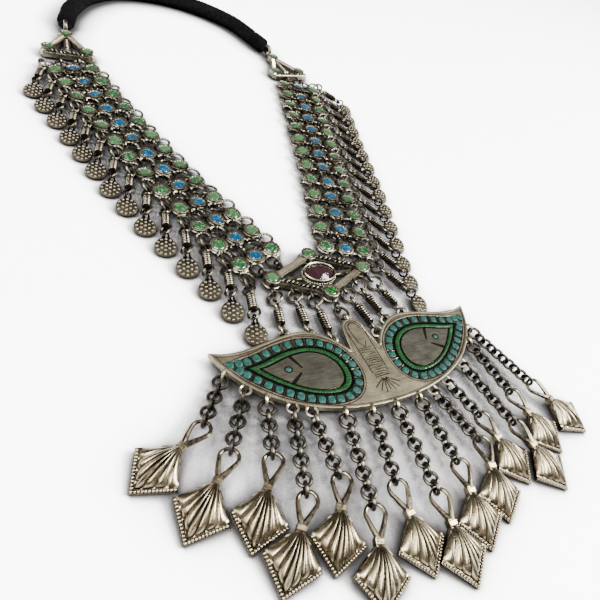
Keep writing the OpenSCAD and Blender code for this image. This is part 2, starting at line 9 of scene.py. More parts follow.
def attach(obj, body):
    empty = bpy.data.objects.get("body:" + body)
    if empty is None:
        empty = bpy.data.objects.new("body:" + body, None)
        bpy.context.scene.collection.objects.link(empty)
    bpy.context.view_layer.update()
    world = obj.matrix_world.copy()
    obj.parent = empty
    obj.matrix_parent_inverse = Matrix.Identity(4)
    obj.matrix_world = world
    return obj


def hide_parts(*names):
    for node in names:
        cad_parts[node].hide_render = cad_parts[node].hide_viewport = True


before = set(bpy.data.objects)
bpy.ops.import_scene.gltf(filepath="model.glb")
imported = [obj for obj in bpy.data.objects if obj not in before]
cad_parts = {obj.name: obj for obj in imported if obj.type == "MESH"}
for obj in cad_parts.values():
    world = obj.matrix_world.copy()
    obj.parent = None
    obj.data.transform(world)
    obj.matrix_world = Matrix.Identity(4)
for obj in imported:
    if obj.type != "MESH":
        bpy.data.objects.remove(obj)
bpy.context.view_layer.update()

# Camera. The photograph looks down on the lying necklace from the pendant's end and a little from
# its left, so the cord is far away. Angles are in degrees, lengths in millimetres.

MM = 0.001
CAMERA_AZIMUTH, CAMERA_ELEVATION, CAMERA_ROLL = -42.79, 43.49, 23.76
CAMERA_TARGET, CAMERA_DISTANCE = Vector((-9.96, -7.54, 0)), 165.44
SENSOR, FOCAL_PIXELS, PHOTO_PIXELS = 36, 525.82, 600

scene = bpy.context.scene
camera = bpy.data.objects.new("camera", bpy.data.cameras.new("camera"))
scene.collection.objects.link(camera)
scene.camera = camera
camera.data.sensor_width = SENSOR
camera.data.lens = SENSOR * FOCAL_PIXELS / PHOTO_PIXELS
camera.data.clip_start = 5 * MM
azimuth, elevation = math.radians(CAMERA_AZIMUTH), math.radians(CAMERA_ELEVATION)
away = Vector((math.sin(azimuth) * math.cos(elevation), -math.cos(azimuth) * math.cos(elevation),
               math.sin(elevation)))
right = (-away).cross(Vector((0, 0, 1))).normalized()
up = right.cross(-away)
roll = math.radians(CAMERA_ROLL)
right, up = (right * math.cos(roll) + up * math.sin(roll),
             up * math.cos(roll) - right * math.sin(roll))
camera.matrix_world = Matrix.Translation((CAMERA_TARGET + away * CAMERA_DISTANCE) * MM) @ \
    Matrix((right, up, away)).transposed().to_4x4()

# Cord. A soft black braided cotton cord closes the loop behind the neck. It lies along the route
# that the CAD model gives it, and its braid is cut into the tube as crossing ridges.

CORD_D = 7.4
CORD_Z = CORD_D / 2 + 0.05
CORD_ROUTE = [(-46.8, 173.4), (-45.3, 178.2), (-37, 192.8), (-29.5, 201), (-20, 207.8), (-8, 211.5),
              (5, 211.8), (17, 208.7), (27.5, 202.8), (35.5, 195.8), (41.5, 188), (45.5, 177.3),
              (46.9, 172.5)]
BRAID_STRANDS, BRAID_LAY, BRAID_RIDGE = 6, 22, 0.16
# Both ends are drawn in by this share, which fades out along this length
END_PINCH, PINCH_FADE = 0.12, 1.2


def linear(hex_colour):
    """An sRGB hex colour as Blender's linear colour"""
    parts = [int(hex_colour[i:i + 2], 16) / 255 for i in (1, 3, 5)]
    return [p / 12.92 if p < 0.04045 else ((p + 0.055) / 1.055) ** 2.4 for p in parts] + [1]


def feed(material, node, links):
    """Links inputs of a node to sockets, or to the first output of other nodes"""
    for name, source in links.items():
        socket = source if isinstance(source, bpy.types.NodeSocket) else source.outputs[0]
        material.node_tree.links.new(socket, node.inputs[name])


def add_node(material, kind, settings=None, links=None, stops=()):
    """A shader node with its settings, its input values and what feeds it. stops are the places
    on a colour ramp, each with a hex colour or the number of a grey"""
    node = material.node_tree.nodes.new(kind)
    for name, value in (settings or {}).items():
        if isinstance(name, str) and hasattr(node, name):
            setattr(node, name, value)
        else:
            node.inputs[name].default_value = value
    feed(material, node, links or {})
    for index, (place, colour) in enumerate(stops):
        if index == len(node.color_ramp.elements):
            node.color_ramp.elements.new(1.0)
        element = node.color_ramp.elements[index]
        element.position = place
        element.color = linear(colour) if isinstance(colour, str) else [colour] * 3 + [1]
    return node


def new_material(name, settings):
    """A material with one Principled shader that carries the settings, and that shader"""
    material = bpy.data.materials.new(name)
    material.use_nodes = True
    material.node_tree.nodes.clear()
    shader = add_node(material, "ShaderNodeBsdfPrincipled", settings)
    add_node(material, "ShaderNodeOutputMaterial", None, {"Surface": shader})
    return material, shader


def thread_material(name, patch):
    """Black cotton thread, whose fibres scatter all gloss and leave a dull, deep black. They are
    drawn 0.25 mm thick, ten times their real size, so that they show"""
    material, shader = new_material(name, {"Roughness": 0.85, "Specular IOR Level": 0.02})
    where = add_node(material, "ShaderNodeTexCoord").outputs["Object"]
    patches = add_node(material, "ShaderNodeTexNoise",
                       {"Scale": 1 / (patch * MM), "Detail": 4, "Roughness": 0.5},
                       {"Vector": where})
    fibres = add_node(material, "ShaderNodeTexNoise",
                      {"Scale": 1 / (0.25 * MM), "Detail": 2, "Roughness": 0.5},
                      {"Vector": where})
    feed(material, shader, {
        "Base Color": add_node(material, "ShaderNodeValToRGB", None, {"Fac": patches},
                               [(0.3, "#010101"), (0.75, "#070707")]),
        "Normal": add_node(material, "ShaderNodeBump", {"Strength": 1.0, "Distance": 0.08 * MM},
                           {"Height": fibres})})
    return material


class Form:
    """Collects points in millimetres and faces for one piece"""

    def __init__(self):
        self.points, self.faces, self.kinds, self.count = [], [], [], 0

    def add(self, part, place=None, kind=0, mirror=False):
        """part is (points, faces), place (rotation, shift), kind the number of its material"""
        points, faces = part
        points = np.array(points, float)
        if place is not None:
            points = points @ place[0].T + place[1]
        if mirror:
            points = points * [-1, 1, 1]
            faces = [f[::-1] for f in faces]
        self.points.append(points)
        self.faces += [[i + self.count for i in f] for f in faces]
        self.kinds += [kind] * len(faces)
        self.count += len(points)

    def piece(self, name, slot, materials, nodes, sharp=40):
        """The finished object, riding on the necklace in place of its CAD nodes"""
        mesh = bpy.data.meshes.new(name)
        mesh.from_pydata((np.concatenate(self.points) * MM).tolist(), [], self.faces)
        for material in materials:
            mesh.materials.append(material)
        mesh.polygons.foreach_set("material_index", self.kinds)
        mesh.polygons.foreach_set("use_smooth", [True] * len(self.faces))
        mesh.set_sharp_from_angle(angle=math.radians(sharp))
        mesh.validate()
        piece = bpy.data.objects.new(name, mesh)
        scene.collection.objects.link(piece)
        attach(piece, "root")
        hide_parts(*nodes)
        return piece


def lifted(path, z):
    """Plan points at this height"""
    return np.column_stack([path, np.full(len(path), z)])


def path_frames(path, closed=False):
    """Two unit vectors across the path at each of its points, carried along with no twist"""
    path = np.asarray(path, float)
    ahead = np.roll(path, -1, 0) - np.roll(path, 1, 0)
    if not closed:
        ahead[0], ahead[-1] = path[1] - path[0], path[-1] - path[-2]
    ahead /= np.linalg.norm(ahead, axis=1)[:, None]
    first = np.cross(ahead[0], [0, 0, 1])
    if np.linalg.norm(first) < 0.2:
        first = np.cross(ahead[0], [1, 0, 0])
    sides = [first / np.linalg.norm(first)]
    for t in ahead[1:]:
        side = sides[-1] - t * sides[-1].dot(t)
        sides.append(side / np.linalg.norm(side))
    sides = np.array(sides)
    return sides, np.cross(sides, ahead)


def tube(path, radius, sides=8, closed=False, flatten=1.0):
    """A wire along a path, closed or with flat ends. radius is one number, or one for each
    point, and flatten its height over its width"""
    path = np.asarray(path, float)
    n = len(path)
    across, over = path_frames(path, closed)
    radius = np.broadcast_to(np.asarray(radius, float), (n,))[:, None, None]
    turns = np.linspace(0, 2 * math.pi, sides, endpoint=False)
    ring = across[:, None] * np.cos(turns)[None, :, None] + \
        flatten * over[:, None] * np.sin(turns)[None, :, None]
    points = (path[:, None] + radius * ring).reshape(-1, 3)
    faces = [[i * sides + k, i * sides + (k + 1) % sides, (i + 1) % n * sides + (k + 1) % sides,
              (i + 1) % n * sides + k] for i in range(n if closed else n - 1) for k in range(sides)]
    if not closed:
        faces += [list(range(sides))[::-1], [(n - 1) * sides + k for k in range(sides)]]
    return points, faces


def smooth_line(points, steps):
    """Smooth curve through points, with this many steps between each two"""
    points = np.asarray(points, float)
    line = []
    for i in range(len(points) - 1):
        a, b = points[max(i - 1, 0)], points[i]
        c, d = points[i + 1], points[min(i + 2, len(points) - 1)]
        for t in np.arange(steps) / steps:
            line.append(0.5 * (2 * b + (c - a) * t + (2 * a - 5 * b + 4 * c - d) * t * t
                               + (3 * b - a - 3 * c + d) * t ** 3))
    return np.array(line + [points[-1]])


def braided_cord():
    path = lifted(smooth_line(CORD_ROUTE, 40), CORD_Z)
    sides = 36
    across, over = path_frames(path)
    run = np.concatenate([[0], np.cumsum(np.linalg.norm(np.diff(path, axis=0), axis=1))])
    turns = np.linspace(0, 2 * math.pi, sides, endpoint=False)
    wound = BRAID_STRANDS * 2 * math.pi / BRAID_LAY * run[:, None]
    one = np.cos(BRAID_STRANDS * turns[None] + wound)
    other = np.cos(BRAID_STRANDS * turns[None] - wound)
    radius = CORD_D / 2 - BRAID_RIDGE + BRAID_RIDGE * np.maximum(one, other)
    pinch = END_PINCH * (np.exp(-run / PINCH_FADE) + np.exp((run - run[-1]) / PINCH_FADE))
    ring_points = across[:, None] * np.cos(turns)[None, :, None] + \
        over[:, None] * np.sin(turns)[None, :, None]
    points = path[:, None] + (radius * (1 - pinch[:, None]))[:, :, None] * ring_points
    form = Form()
    form.add((points.reshape(-1, 3), tube(path, 1, sides)[1]))
    piece = form.piece("neck_cord", "cord", [thread_material("black_braid", 1.5)], ["cord"], 60)


braided_cord()

# Floor and light. The necklace lies on plain white paper under soft lamps, the strongest at its
# right, and soft grey shadow close to the metal is painted into the paper's colour.

# In metres, but for the reach of the painted shadows, which is in millimetres
FLOOR_HALF, FLOOR_DROP, SHADOW_REACH = 3, 0.0001, 12
# Name, place and width in metres, and power in watts
LAMPS = [("lamp_right", (0.85, -0.45, 0.85), 0.5, 130),
         ("lamp_above", (-0.62, -0.2, 1.05), 0.7, 80),
         ("lamp_left", (-1.0, 0.4, 0.6), 0.3, 14)]
LAMP_AIM = Vector((0, 0.05, 0))
SKY_POWER = 0.25


def paper_material():
    """Matt white paper, plain, with painted shadow: its colour goes grey where the metal lies close
    over it
    """
    material, shader = new_material("white_paper", {"Roughness": 0.9})
    open_sky_for_painted_shadow = add_node(material, "ShaderNodeAmbientOcclusion",
                        {"samples": 8, "Distance": SHADOW_REACH * MM}).outputs["AO"]
    # Painted shadow: the paper's colour turns grey where metal lies close over it and hides the sky
    painted_shadow_greys = [(0.35, "#080808"), (0.6, "#343232"), (0.8, "#8f8c8b"), (0.97, "#ffffff")]
    feed(material, shader, {
        "Base Color": add_node(material, "ShaderNodeValToRGB", None, {"Fac": open_sky_for_painted_shadow}, painted_shadow_greys)})
    return material


def stage_and_light():
    mesh = bpy.data.meshes.new("floor")
    corners = [(x * FLOOR_HALF, y * FLOOR_HALF, 0) for x, y in ((-1, -1), (1, -1), (1, 1), (-1, 1))]
    mesh.from_pydata(corners, [], [(0, 1, 2, 3)])
    mesh.materials.append(paper_material())
    floor = bpy.data.objects.new("floor", mesh)
    scene.collection.objects.link(floor)
    floor.location.z = -FLOOR_DROP
    for name, place, size, power in LAMPS:
        lamp = bpy.data.objects.new(name, bpy.data.lights.new(name, "AREA"))
        lamp.data.size = size
        lamp.data.energy = power
        lamp.location = place
        lamp.rotation_euler = (LAMP_AIM - Vector(place)).to_track_quat("-Z", "Y").to_euler()
        scene.collection.objects.link(lamp)
    world = bpy.data.worlds.new("studio")
    scene.world = world
    world.use_nodes = True
    background = world.node_tree.nodes["Background"]
    background.inputs["Color"].default_value = linear("#ffffff")
    background.inputs["Strength"].default_value = SKY_POWER


stage_and_light()

# Cord ends. Each end of the cord is whipped with black thread and tied down to a small loop that
# passes through the silver bail of the end plate.

# For each strap: x, y and direction of its first row, its whole turn up to the last row, and how
# much further each dangle turns than the one before it. The left strap is mirrored after that.
STRAPS = {"left": (18, 11.2, 22.5, -11.5, 0.75), "right": (16.8, 10.6, 18.6, -2.4, 0)}
ROWS, PITCH, COLUMN = 13, 10.0, 7.4
END_PLATE_TURN, CORD_END_TURN = -7, -17
NECK_BAIL_Y, NECK_BAIL_Z = 24.3, 3.3
CORD_LOOP_R, CORD_LOOP_THICK = 2.1, 1.6
WHIP_TURNS, WHIP_PITCH, WHIP_PROUD, WHIP_END = 14, 0.54, 0.29, 8.0
# From the bail to the loop in it, and from there to the whipping
LOOP_AT, WHIP_AT = 2.6, 1.9


def turn(axis, degrees):
    """Rotation matrix about x, y or z, as in the CAD source"""
    c, s = math.cos(math.radians(degrees)), math.sin(math.radians(degrees))
    return np.array({"x": [[1, 0, 0], [0, c, -s], [0, s, c]],
                     "y": [[c, 0, s], [0, 1, 0], [-s, 0, c]],
                     "z": [[c, -s, 0], [s, c, 0], [0, 0, 1]]}[axis])


def aim(p, z, angle, pitch=0, roll=0, inner=(0, 0, 0)):
    """Puts +Y of a part along a plan direction, counted from +Y towards +X. inner moves it first"""
    turned = turn("z", -angle) @ turn("x", pitch)
    return turned @ turn("y", roll), turned @ np.array(inner, float) + [p[0], p[1], z]


def heading(angle):
    """Plan direction, counted from +Y towards +X"""
    return np.array([math.sin(math.radians(angle)), math.cos(math.radians(angle))])


def lathe(profile, sides=24):
    """A profile of (radius, height) turned about Z. A radius of 0 closes it"""
    profile = np.asarray(profile, float)
    turns = np.linspace(0, 2 * math.pi, sides, endpoint=False)
    points = np.array([[r * math.cos(a), r * math.sin(a), z] for r, z in profile for a in turns])
    faces = [[i * sides + k, i * sides + (k + 1) % sides, (i + 1) * sides + (k + 1) % sides,
              (i + 1) * sides + k] for i in range(len(profile) - 1) for k in range(sides)]
    faces.append(list(range(sides))[::-1])
    faces.append([(len(profile) - 1) * sides + k for k in range(sides)])
    return points, faces


def circle(r, steps=28):
    turns = np.linspace(0, 2 * math.pi, steps, endpoint=False)
    return np.stack([r * np.cos(turns), r * np.sin(turns), 0 * turns], 1)


def row_angle(s, k):
    """Direction in which a strap runs on at row k"""
    return s[2] + s[3] * k / (ROWS - 1)


def row_point(s, k):
    """Middle of row k of a strap, counted from the lozenge"""
    if k < 1:
        return np.array(s[:2]) + k * PITCH * heading(row_angle(s, 0 if k < 0 else 0.5))
    return row_point(s, k - 1) + PITCH * heading(row_angle(s, k - 0.5))


def strap_point(s, k, x):
    """Point of row k, this far to the side of its middle"""
    a = math.radians(row_angle(s, k))
    return row_point(s, k) + x * np.array([math.cos(a), -math.sin(a)])


def plate_point(s):
    """Middle of the end plate's lower bar"""
    return row_point(s, ROWS - 1) + [0.5, PITCH + 1]


def cord_ends():
    black = thread_material("black_thread", 0.6)
    r = CORD_D / 2 - 0.3
    profile = [(0, 0), (2.2, 0), (r - 0.5, 0.3)]
    for i in range(WHIP_TURNS):
        y = 0.45 + i * WHIP_PITCH
        proud = r + WHIP_PROUD
        profile += [(r, y), (proud, y + 0.18), (proud, y + 0.34), (r, y + 0.52)]
    profile += [(r - 0.3, WHIP_END), (0, WHIP_END)]
    for side, s in STRAPS.items():
        flip = side == "left"
        form = Form()
        loop_at = plate_point(s) + (NECK_BAIL_Y + LOOP_AT) * heading(END_PLATE_TURN)
        form.add(tube(circle(CORD_LOOP_R, 32), CORD_LOOP_THICK / 2, 10, True),
                 aim(loop_at, NECK_BAIL_Z, CORD_END_TURN), 0, flip)
        turned, at = aim(loop_at + WHIP_AT * heading(CORD_END_TURN), CORD_Z, CORD_END_TURN)
        form.add(lathe(profile, 32), (turned @ turn("x", -90), at), 0, flip)
        form.piece("cord_binding_" + side, "cord_binding", [black], ["cord_end_" + side], 50)


cord_ends()

# Straps. Each is a mesh of plain and roped silver rings, linked together and set with three
# columns of small enamelled cups: green at both edges and blue along the middle.

CUP_R, CUP_LOW, CUP_TOP, CUP_TEETH = 2.9, 1.35, 2.9, 14
MESH_WIRE, MESH_RING_R, EDGE_RING_R, EDGE_X, MESH_Z = 1.0, 2.95, 2.42, 9.4, 1.75
ROPED, PLAIN = 0.16, 0.05
# Rows from a strap's first or last row to the rings beyond it
END_RING = 0.42
# Small rings beside the cups and the rings under the mesh: middle radius and thickness
SMALL_RING, UNDER_RING, UNDER_Z = (0.95, 0.62), (1.75, 0.75), 0.95


def silver_material(name, bright="#6f6a5a", worn="#37342c", dark="#020202", rough=0.28,
                    edge_share=0.45, edge_from=0.44):
    """Aged silver alloy, cast or drawn to wire: bright and slightly warm on what stands proud,
    and nearly black with tarnish where the polish never reaches. Its scratches are drawn 0.35 mm
    wide, far over their real size, so that they show"""
    material, shader = new_material(name, {"Metallic": 1.0})
    where = add_node(material, "ShaderNodeTexCoord").outputs["Object"]
    proud = add_node(material, "ShaderNodeNewGeometry").outputs["Pointiness"]
    shade = add_node(material, "ShaderNodeAmbientOcclusion",
                     {"samples": 6, "Distance": 1.1 * MM}).outputs["AO"]
    patches = add_node(material, "ShaderNodeTexNoise",
                       {"Scale": 1 / (1.6 * MM), "Detail": 5, "Roughness": 0.65},
                       {"Vector": where})
    scratches = add_node(material, "ShaderNodeTexNoise",
                         {"Scale": 1 / (0.35 * MM), "Detail": 4, "Roughness": 0.6},
                         {"Vector": where})
    edge = add_node(material, "ShaderNodeValToRGB", None, {"Fac": proud},
                    [(edge_from, 0.0), (edge_from + 0.12, 1.0)])
    open_part = add_node(material, "ShaderNodeValToRGB", None, {"Fac": shade},
                         [(0.35, 0.0), (0.95, 1.0)])
    rubbed = add_node(material, "ShaderNodeMix",
                      {"data_type": "RGBA", "blend_type": "OVERLAY", 0: 1.0},
                      {6: edge, 7: patches}).outputs[2]
    wear = add_node(material, "ShaderNodeMix", {"data_type": "RGBA", 0: edge_share},
                    {6: open_part, 7: rubbed}).outputs[2]
    feed(material, shader, {
        "Base Color": add_node(material, "ShaderNodeValToRGB", None, {"Fac": wear},
                               [(0.2, dark), (0.5, worn), (0.8, bright)]),
        "Roughness": add_node(material, "ShaderNodeValToRGB", None, {"Fac": patches},
                              [(0.3, rough + 0.18), (0.7, rough - 0.08)]),
        "Normal": add_node(material, "ShaderNodeBump", {"Strength": 1.0, "Distance": 0.03 * MM},
                           {"Height": scratches})})
    return material


def enamel_material(name, deep, mid, light, patch=0.9, rough=0.16, coat=0.6, gloss=0.5,
                    pale=None):
    """Fired enamel: glassy over cloudy patches of colour, its surface a little wavy. With a pale
    colour, each cup's filling takes its own share of that"""
    material, shader = new_material(name, {"Roughness": rough, "Coat Weight": coat,
                                           "Coat Roughness": 0.08, "Specular IOR Level": gloss})
    where = add_node(material, "ShaderNodeTexCoord").outputs["Object"]
    patches = add_node(material, "ShaderNodeTexNoise",
                       {"Scale": 1 / (patch * MM), "Detail": 4, "Roughness": 0.6},
                       {"Vector": where})
    waves = add_node(material, "ShaderNodeTexNoise",
                     {"Scale": 1 / (0.5 * MM), "Detail": 3, "Roughness": 0.5}, {"Vector": where})
    colour = add_node(material, "ShaderNodeValToRGB", None, {"Fac": patches},
                      [(0.3, deep), (0.52, mid), (0.72, light)]).outputs["Color"]
    if pale:
        each = add_node(material, "ShaderNodeNewGeometry").outputs["Random Per Island"]
        share = add_node(material, "ShaderNodeValToRGB", None, {"Fac": each},
                         [(0.3, 0.0), (1.0, 0.85)])
        colour = add_node(material, "ShaderNodeMix", {"data_type": "RGBA", 7: linear(pale)},
                          {0: share, 6: colour}).outputs[2]
    feed(material, shader, {
        "Base Color": colour,
        "Normal": add_node(material, "ShaderNodeBump", {"Strength": 1.0, "Distance": 0.06 * MM},
                           {"Height": waves})})
    return material


def roped_ring(r, thick, steps=32, sides=7, depth=0.0):
    """Wire ring whose rim is nicked like a twisted wire when depth is over 0"""
    nicks = 1 + depth * np.where(np.arange(steps) % 2 == 0, 1, -1)
    return tube(circle(r, steps), thick / 2 * nicks, sides, True)


def toothed(profile, depths, teeth, sides):
    """A turned form whose radius runs in and out like teeth, by a depth for each profile point"""
    points, faces = lathe(profile, sides)
    turns = np.arctan2(points[:, 1], points[:, 0])
    wave = 1 + np.repeat(depths, sides) * np.cos(teeth * turns)
    return points * np.column_stack([wave, wave, np.ones(len(wave))]), faces


def enamel_cup(r, low, top, teeth):
    """Cup with a nicked bright rim, and the enamel that fills it"""
    # Radius, height and depth of the nicks of each step of the wall, from the foot to the inside
    wall = [(0, low, 0), (r + 0.2, low, 0), (r + 0.4, low + 0.3, 0.03),
            (r + 0.35, low + 0.62, 0.03), (r, low + 0.8, 0), (r - 0.02, top - 0.35, 0),
            (r + 0.04, top - 0.15, 0.045),
            (r - 0.25, top, 0.08), (r - 0.75, top - 0.02, 0.13), (r - 1.02, top - 0.4, 0.08),
            (0, top - 0.45, 0)]
    fill = [(r - 0.85, top - 0.42), (r - 1.0, top - 0.22), (r - 1.4, top - 0.12),
            (r - 2.1, top - 0.07), (0.01, top - 0.05)]
    body = toothed([step[:2] for step in wall], [step[2] for step in wall], teeth, 3 * teeth)
    return body, lathe(fill, 24)


def plan_angle(v):
    """Direction of a plan vector, counted from +Y towards +X"""
    return math.degrees(math.atan2(v[0], v[1]))


def strap(side, s):
    metal, green_fill, blue_fill = Form(), Form(), Form()
    flip = side == "left"
    seeds = np.random.default_rng(7 if flip else 8)

    def leaning(most):
        """A small tilt by chance, as loose parts have"""
        return turn("x", seeds.uniform(-most, most)) @ turn("y", seeds.uniform(-most, most))

    body, fill = enamel_cup(CUP_R, CUP_LOW, CUP_TOP, CUP_TEETH)
    for k in range(ROWS):
        for c in (-1, 0, 1):
            spin = turn("z", seeds.uniform(0, 360))
            place = (leaning(7) @ spin, np.array([*strap_point(s, k, c * COLUMN), 0.0]))
            metal.add(body, place, 0, flip)
            (green_fill if c else blue_fill).add(fill, place, 0, flip)
    # Middle, radius and depth of the nicks of each ring, those between the cups first
    rings = [(strap_point(s, k - 0.5, c * COLUMN / 2), MESH_RING_R, ROPED if k % 2 else PLAIN)
             for k in range(1, ROWS) for c in (-1, 1)]
    between = rings[:]
    rings += [(strap_point(s, k, c * COLUMN / 2), EDGE_RING_R, PLAIN)
              for k in (-END_RING, ROWS - 1 + END_RING) for c in (-1, 1)]
    rings += [(strap_point(s, k - 0.5, c * EDGE_X), EDGE_RING_R, ROPED)
              for k in range(ROWS + 1) for c in (-1, 1) if c > 0 or 0 < k < ROWS]
    for p, r, nicks in rings:
        metal.add(roped_ring(r, MESH_WIRE, 36, 7, nicks),
                  (leaning(11), np.array([*p, MESH_Z])), 0, flip)
    small = roped_ring(*SMALL_RING, 12, 5)
    under = roped_ring(*UNDER_RING, 20, 6)
    for p, r, nicks in between:
        lean = leaning(14)
        aside = [seeds.uniform(-0.5, 0.5), seeds.uniform(-0.5, 0.5)]
        metal.add(under, (lean, np.array([*(p + aside), UNDER_Z])), 0, flip)
    for k in range(1, ROWS):
        for c in (-1, 1):
            middle = strap_point(s, k - 0.5, c * COLUMN / 2)
            for dk, dc in ((-0.5, -1), (-0.5, 1), (0.5, -1), (0.5, 1)):
                way = strap_point(s, k - 0.5 + dk, (c + dc) * COLUMN / 2) - middle
                tilt = 75 + seeds.uniform(-12, 12)
                at = aim(middle + 0.475 * way, MESH_Z + 0.05, plan_angle(way), 0, tilt)
                metal.add(small, at, 0, flip)
    node = "strap_" + side
    metal.piece(node + "_metal", "silver", [aged_silver], [node])
    green_fill.piece(node + "_green", "green_enamel", [pale_green], [node], 60)
    blue_fill.piece(node + "_blue", "turquoise_enamel", [blue], [node], 60)


# Green for both edges, a little paler or darker from cup to cup, and blue for the middle
aged_silver = silver_material("aged_silver")
pale_green = enamel_material("pale_green_enamel", "#031008", "#0c2812", "#3a5c3a", rough=0.2,
                             coat=0.4, pale="#1e3d20")
blue = enamel_material("blue_enamel", "#00101c", "#012136", "#04455e", patch=1.0, rough=0.22,
                       coat=0.3)
for side, s in STRAPS.items():
    strap(side, s)

# Dangles. From the outer edge of each strap hang fourteen wire links wound with a tight coil, and
# under each a small domed disc crowded with soldered grains.

# Jump rings of dangles and hangers, and of the middle: middle radius and thickness
JUMP_RING, JUMP_Z = (2.3, 0.9), 2.3
LINK_SPAN, LINK_LOOP_R, LINK_WIRE, LINK_LEG = 9.9, 1.9, 0.8, 2.6
COIL_START, COIL_R, COIL_WIRE, COIL_PITCH, CORE_R, CORE_START = 1.25, 1.45, 0.58, 0.84, 0.95, 1.45
DANGLE_WAY, DISC_TILT, DISC_REACH = 142.5, 18, 8
# From the eye on the strap to its jump ring, and from there to the link and to the disc
RING_AT, LINK_AT, DISC_AT = 2.65, 3.1, 15.3
DISC_CENTRE, DISC_EYE, DISC_BACK = 4.6, (1.45, 0.7), 0.5
# Distance from the middle, directions and radius of the grains on a disc
GRAINS = [(0, [0], 0.6), (1.35, range(30, 390, 60), 0.52), (2.6, range(0, 360, 30), 0.5)]


def dirt_and_painted_shade_material():
    """Dry black dirt in engraved lines, and painted shade on the cores inside the coils, where the
    gaps between the turns fall dark; it kills every reflection there
    """
    material, shader = new_material("black_line", {"Roughness": 0.7, "Specular IOR Level": 0.0})
    where = add_node(material, "ShaderNodeTexCoord").outputs["Object"]
    patches = add_node(material, "ShaderNodeTexNoise",
                       {"Scale": 1 / (0.8 * MM), "Detail": 4, "Roughness": 0.5},
                       {"Vector": where})
    feed(material, shader, {
        "Base Color": add_node(material, "ShaderNodeValToRGB", None, {"Fac": patches},
                               [(0.3, "#020201"), (0.75, "#0f0d09")])})
    return material


def wound_coil(start, length):
    """Tight winding of wire along +Y"""
    turns = int(length / COIL_PITCH)
    t = np.linspace(0, 2 * math.pi * turns, 12 * turns + 1)
    r = COIL_R - COIL_WIRE / 2
    y = start + COIL_WIRE / 2 + (length - COIL_WIRE) * t / t[-1]
    return tube(np.column_stack([r * np.cos(t), y, r * np.sin(t)]), COIL_WIRE / 2, 6)


def loop_end(r, thick, reach):
    """Open loop round the origin whose two legs run together into the coil at +Y reach"""
    a = np.radians(np.linspace(38, 322, 26))
    arc = np.column_stack([r * np.sin(a), r * np.cos(a), 0 * a])
    leg = np.array([[0.28, reach, 0], [0.5, reach - 0.45, 0]])
    return tube(np.vstack([leg, arc, leg[::-1] * [-1, 1, 1]]), thick / 2, 7)


def coil_link(form, place, span, flip):
    """Wire link between two loops, wound with a coil over a core painted black as the shade between
    its turns
    """
    turned, at = place
    far = (turned @ turn("z", 180), at + turned @ np.array([0, span, 0]))
    for end in (place, far):
        form.add(loop_end(LINK_LOOP_R, LINK_WIRE, LINK_LEG), end, 0, flip)
    form.add(wound_coil(COIL_START, span - 2 * COIL_START), place, 0, flip)
    # The core takes material 1, black: painted shade that shows between the turns of the coil
    core_length = span - 2 * CORE_START
    points, faces = lathe([(0, 0), (CORE_R, 0), (CORE_R, core_length), (0, core_length)], 8)
    form.add((points @ turn("x", -90).T + [0, CORE_START, 0], faces), place, 1, flip)


def grain(r, sides=10):
    """Round grain, half sunk"""
    a = np.radians([90, 62, 30, 0, -25])
    return lathe([(max(r * math.cos(t), 0.01), r * math.sin(t)) for t in a[::-1]], sides)


def grain_disc():
    """Domed disc with grains and a soldered loop, its loop at the origin and its face up. Each
    part comes with its kind of silver and its place"""
    centre = np.array([0, DISC_CENTRE, 0])
    rim = [(0, -DISC_BACK), (3.1, -0.5), (3.36, -0.3), (3.42, 0.0), (3.36, 0.3), (3.1, 0.45),
           (2.7, 0.5), (1.9, 0.64), (1.0, 0.8), (0.01, 0.88)]
    yoke = [[-1.1, 0.9, 0], [-0.8, 1.6, 0.1], [0, 1.9, 0.15], [0.8, 1.6, 0.1], [1.1, 0.9, 0]]
    parts = [(0, roped_ring(*DISC_EYE, 24, 7), (turn("y", 50), np.zeros(3))),
             (1, lathe(rim, 30), (np.eye(3), centre)),
             (0, tube(yoke, 0.3, 6), (np.eye(3), np.zeros(3)))]
    for d, ways, r in GRAINS:
        for a in np.radians(ways):
            at = centre + [d * math.cos(a), d * math.sin(a), 0.82 - 0.13 * d]
            parts.append((0, grain(r), (np.eye(3), at)))
    return parts


def dangles(side, s):
    flip = side == "left"
    rings, coils, discs = Form(), Form(), Form()
    disc = grain_disc()
    for i in range(ROWS + 1):
        angle = DANGLE_WAY + row_angle(s, i - 0.5) + 1.3 * math.sin(math.radians(45 * i))
        tilt = DISC_TILT + 2 * math.sin(math.radians(137.5 * (i + 5) + 40))
        lean = math.radians(tilt)
        end_z = DISC_REACH * math.sin(lean) + DISC_BACK * math.cos(lean) + 0.02
        ring_at = strap_point(s, i - 0.5, EDGE_X) + RING_AT * heading(angle)
        rings.add(roped_ring(*JUMP_RING, 32, 8), aim(ring_at, JUMP_Z, angle, 0, 50), 0, flip)
        angle += s[4] * i
        rise = math.degrees(math.asin((end_z - JUMP_Z) / LINK_SPAN))
        link_at = ring_at + LINK_AT * heading(angle)
        coil_link(coils, aim(link_at, JUMP_Z, angle, rise, -40), LINK_SPAN, flip)
        turned, at = aim(ring_at + DISC_AT * heading(angle), end_z, angle, -tilt)
        for kind, part, inner in disc:
            discs.add(part, (turned @ inner[0], at + turned @ inner[1]), kind, flip)
    for form, part, metals in ((rings, "rings", [aged_silver]),
                               (coils, "coils", [coil_silver, black_line]),
                               (discs, "discs", [grain_silver, disc_silver])):
        node = "dangle_%s_%s" % (part, side)
        form.piece(node + "_metal", "silver", metals, [node])


# Black for the engraved lines, and painted shade for the cores inside the coils
black_line = dirt_and_painted_shade_material()
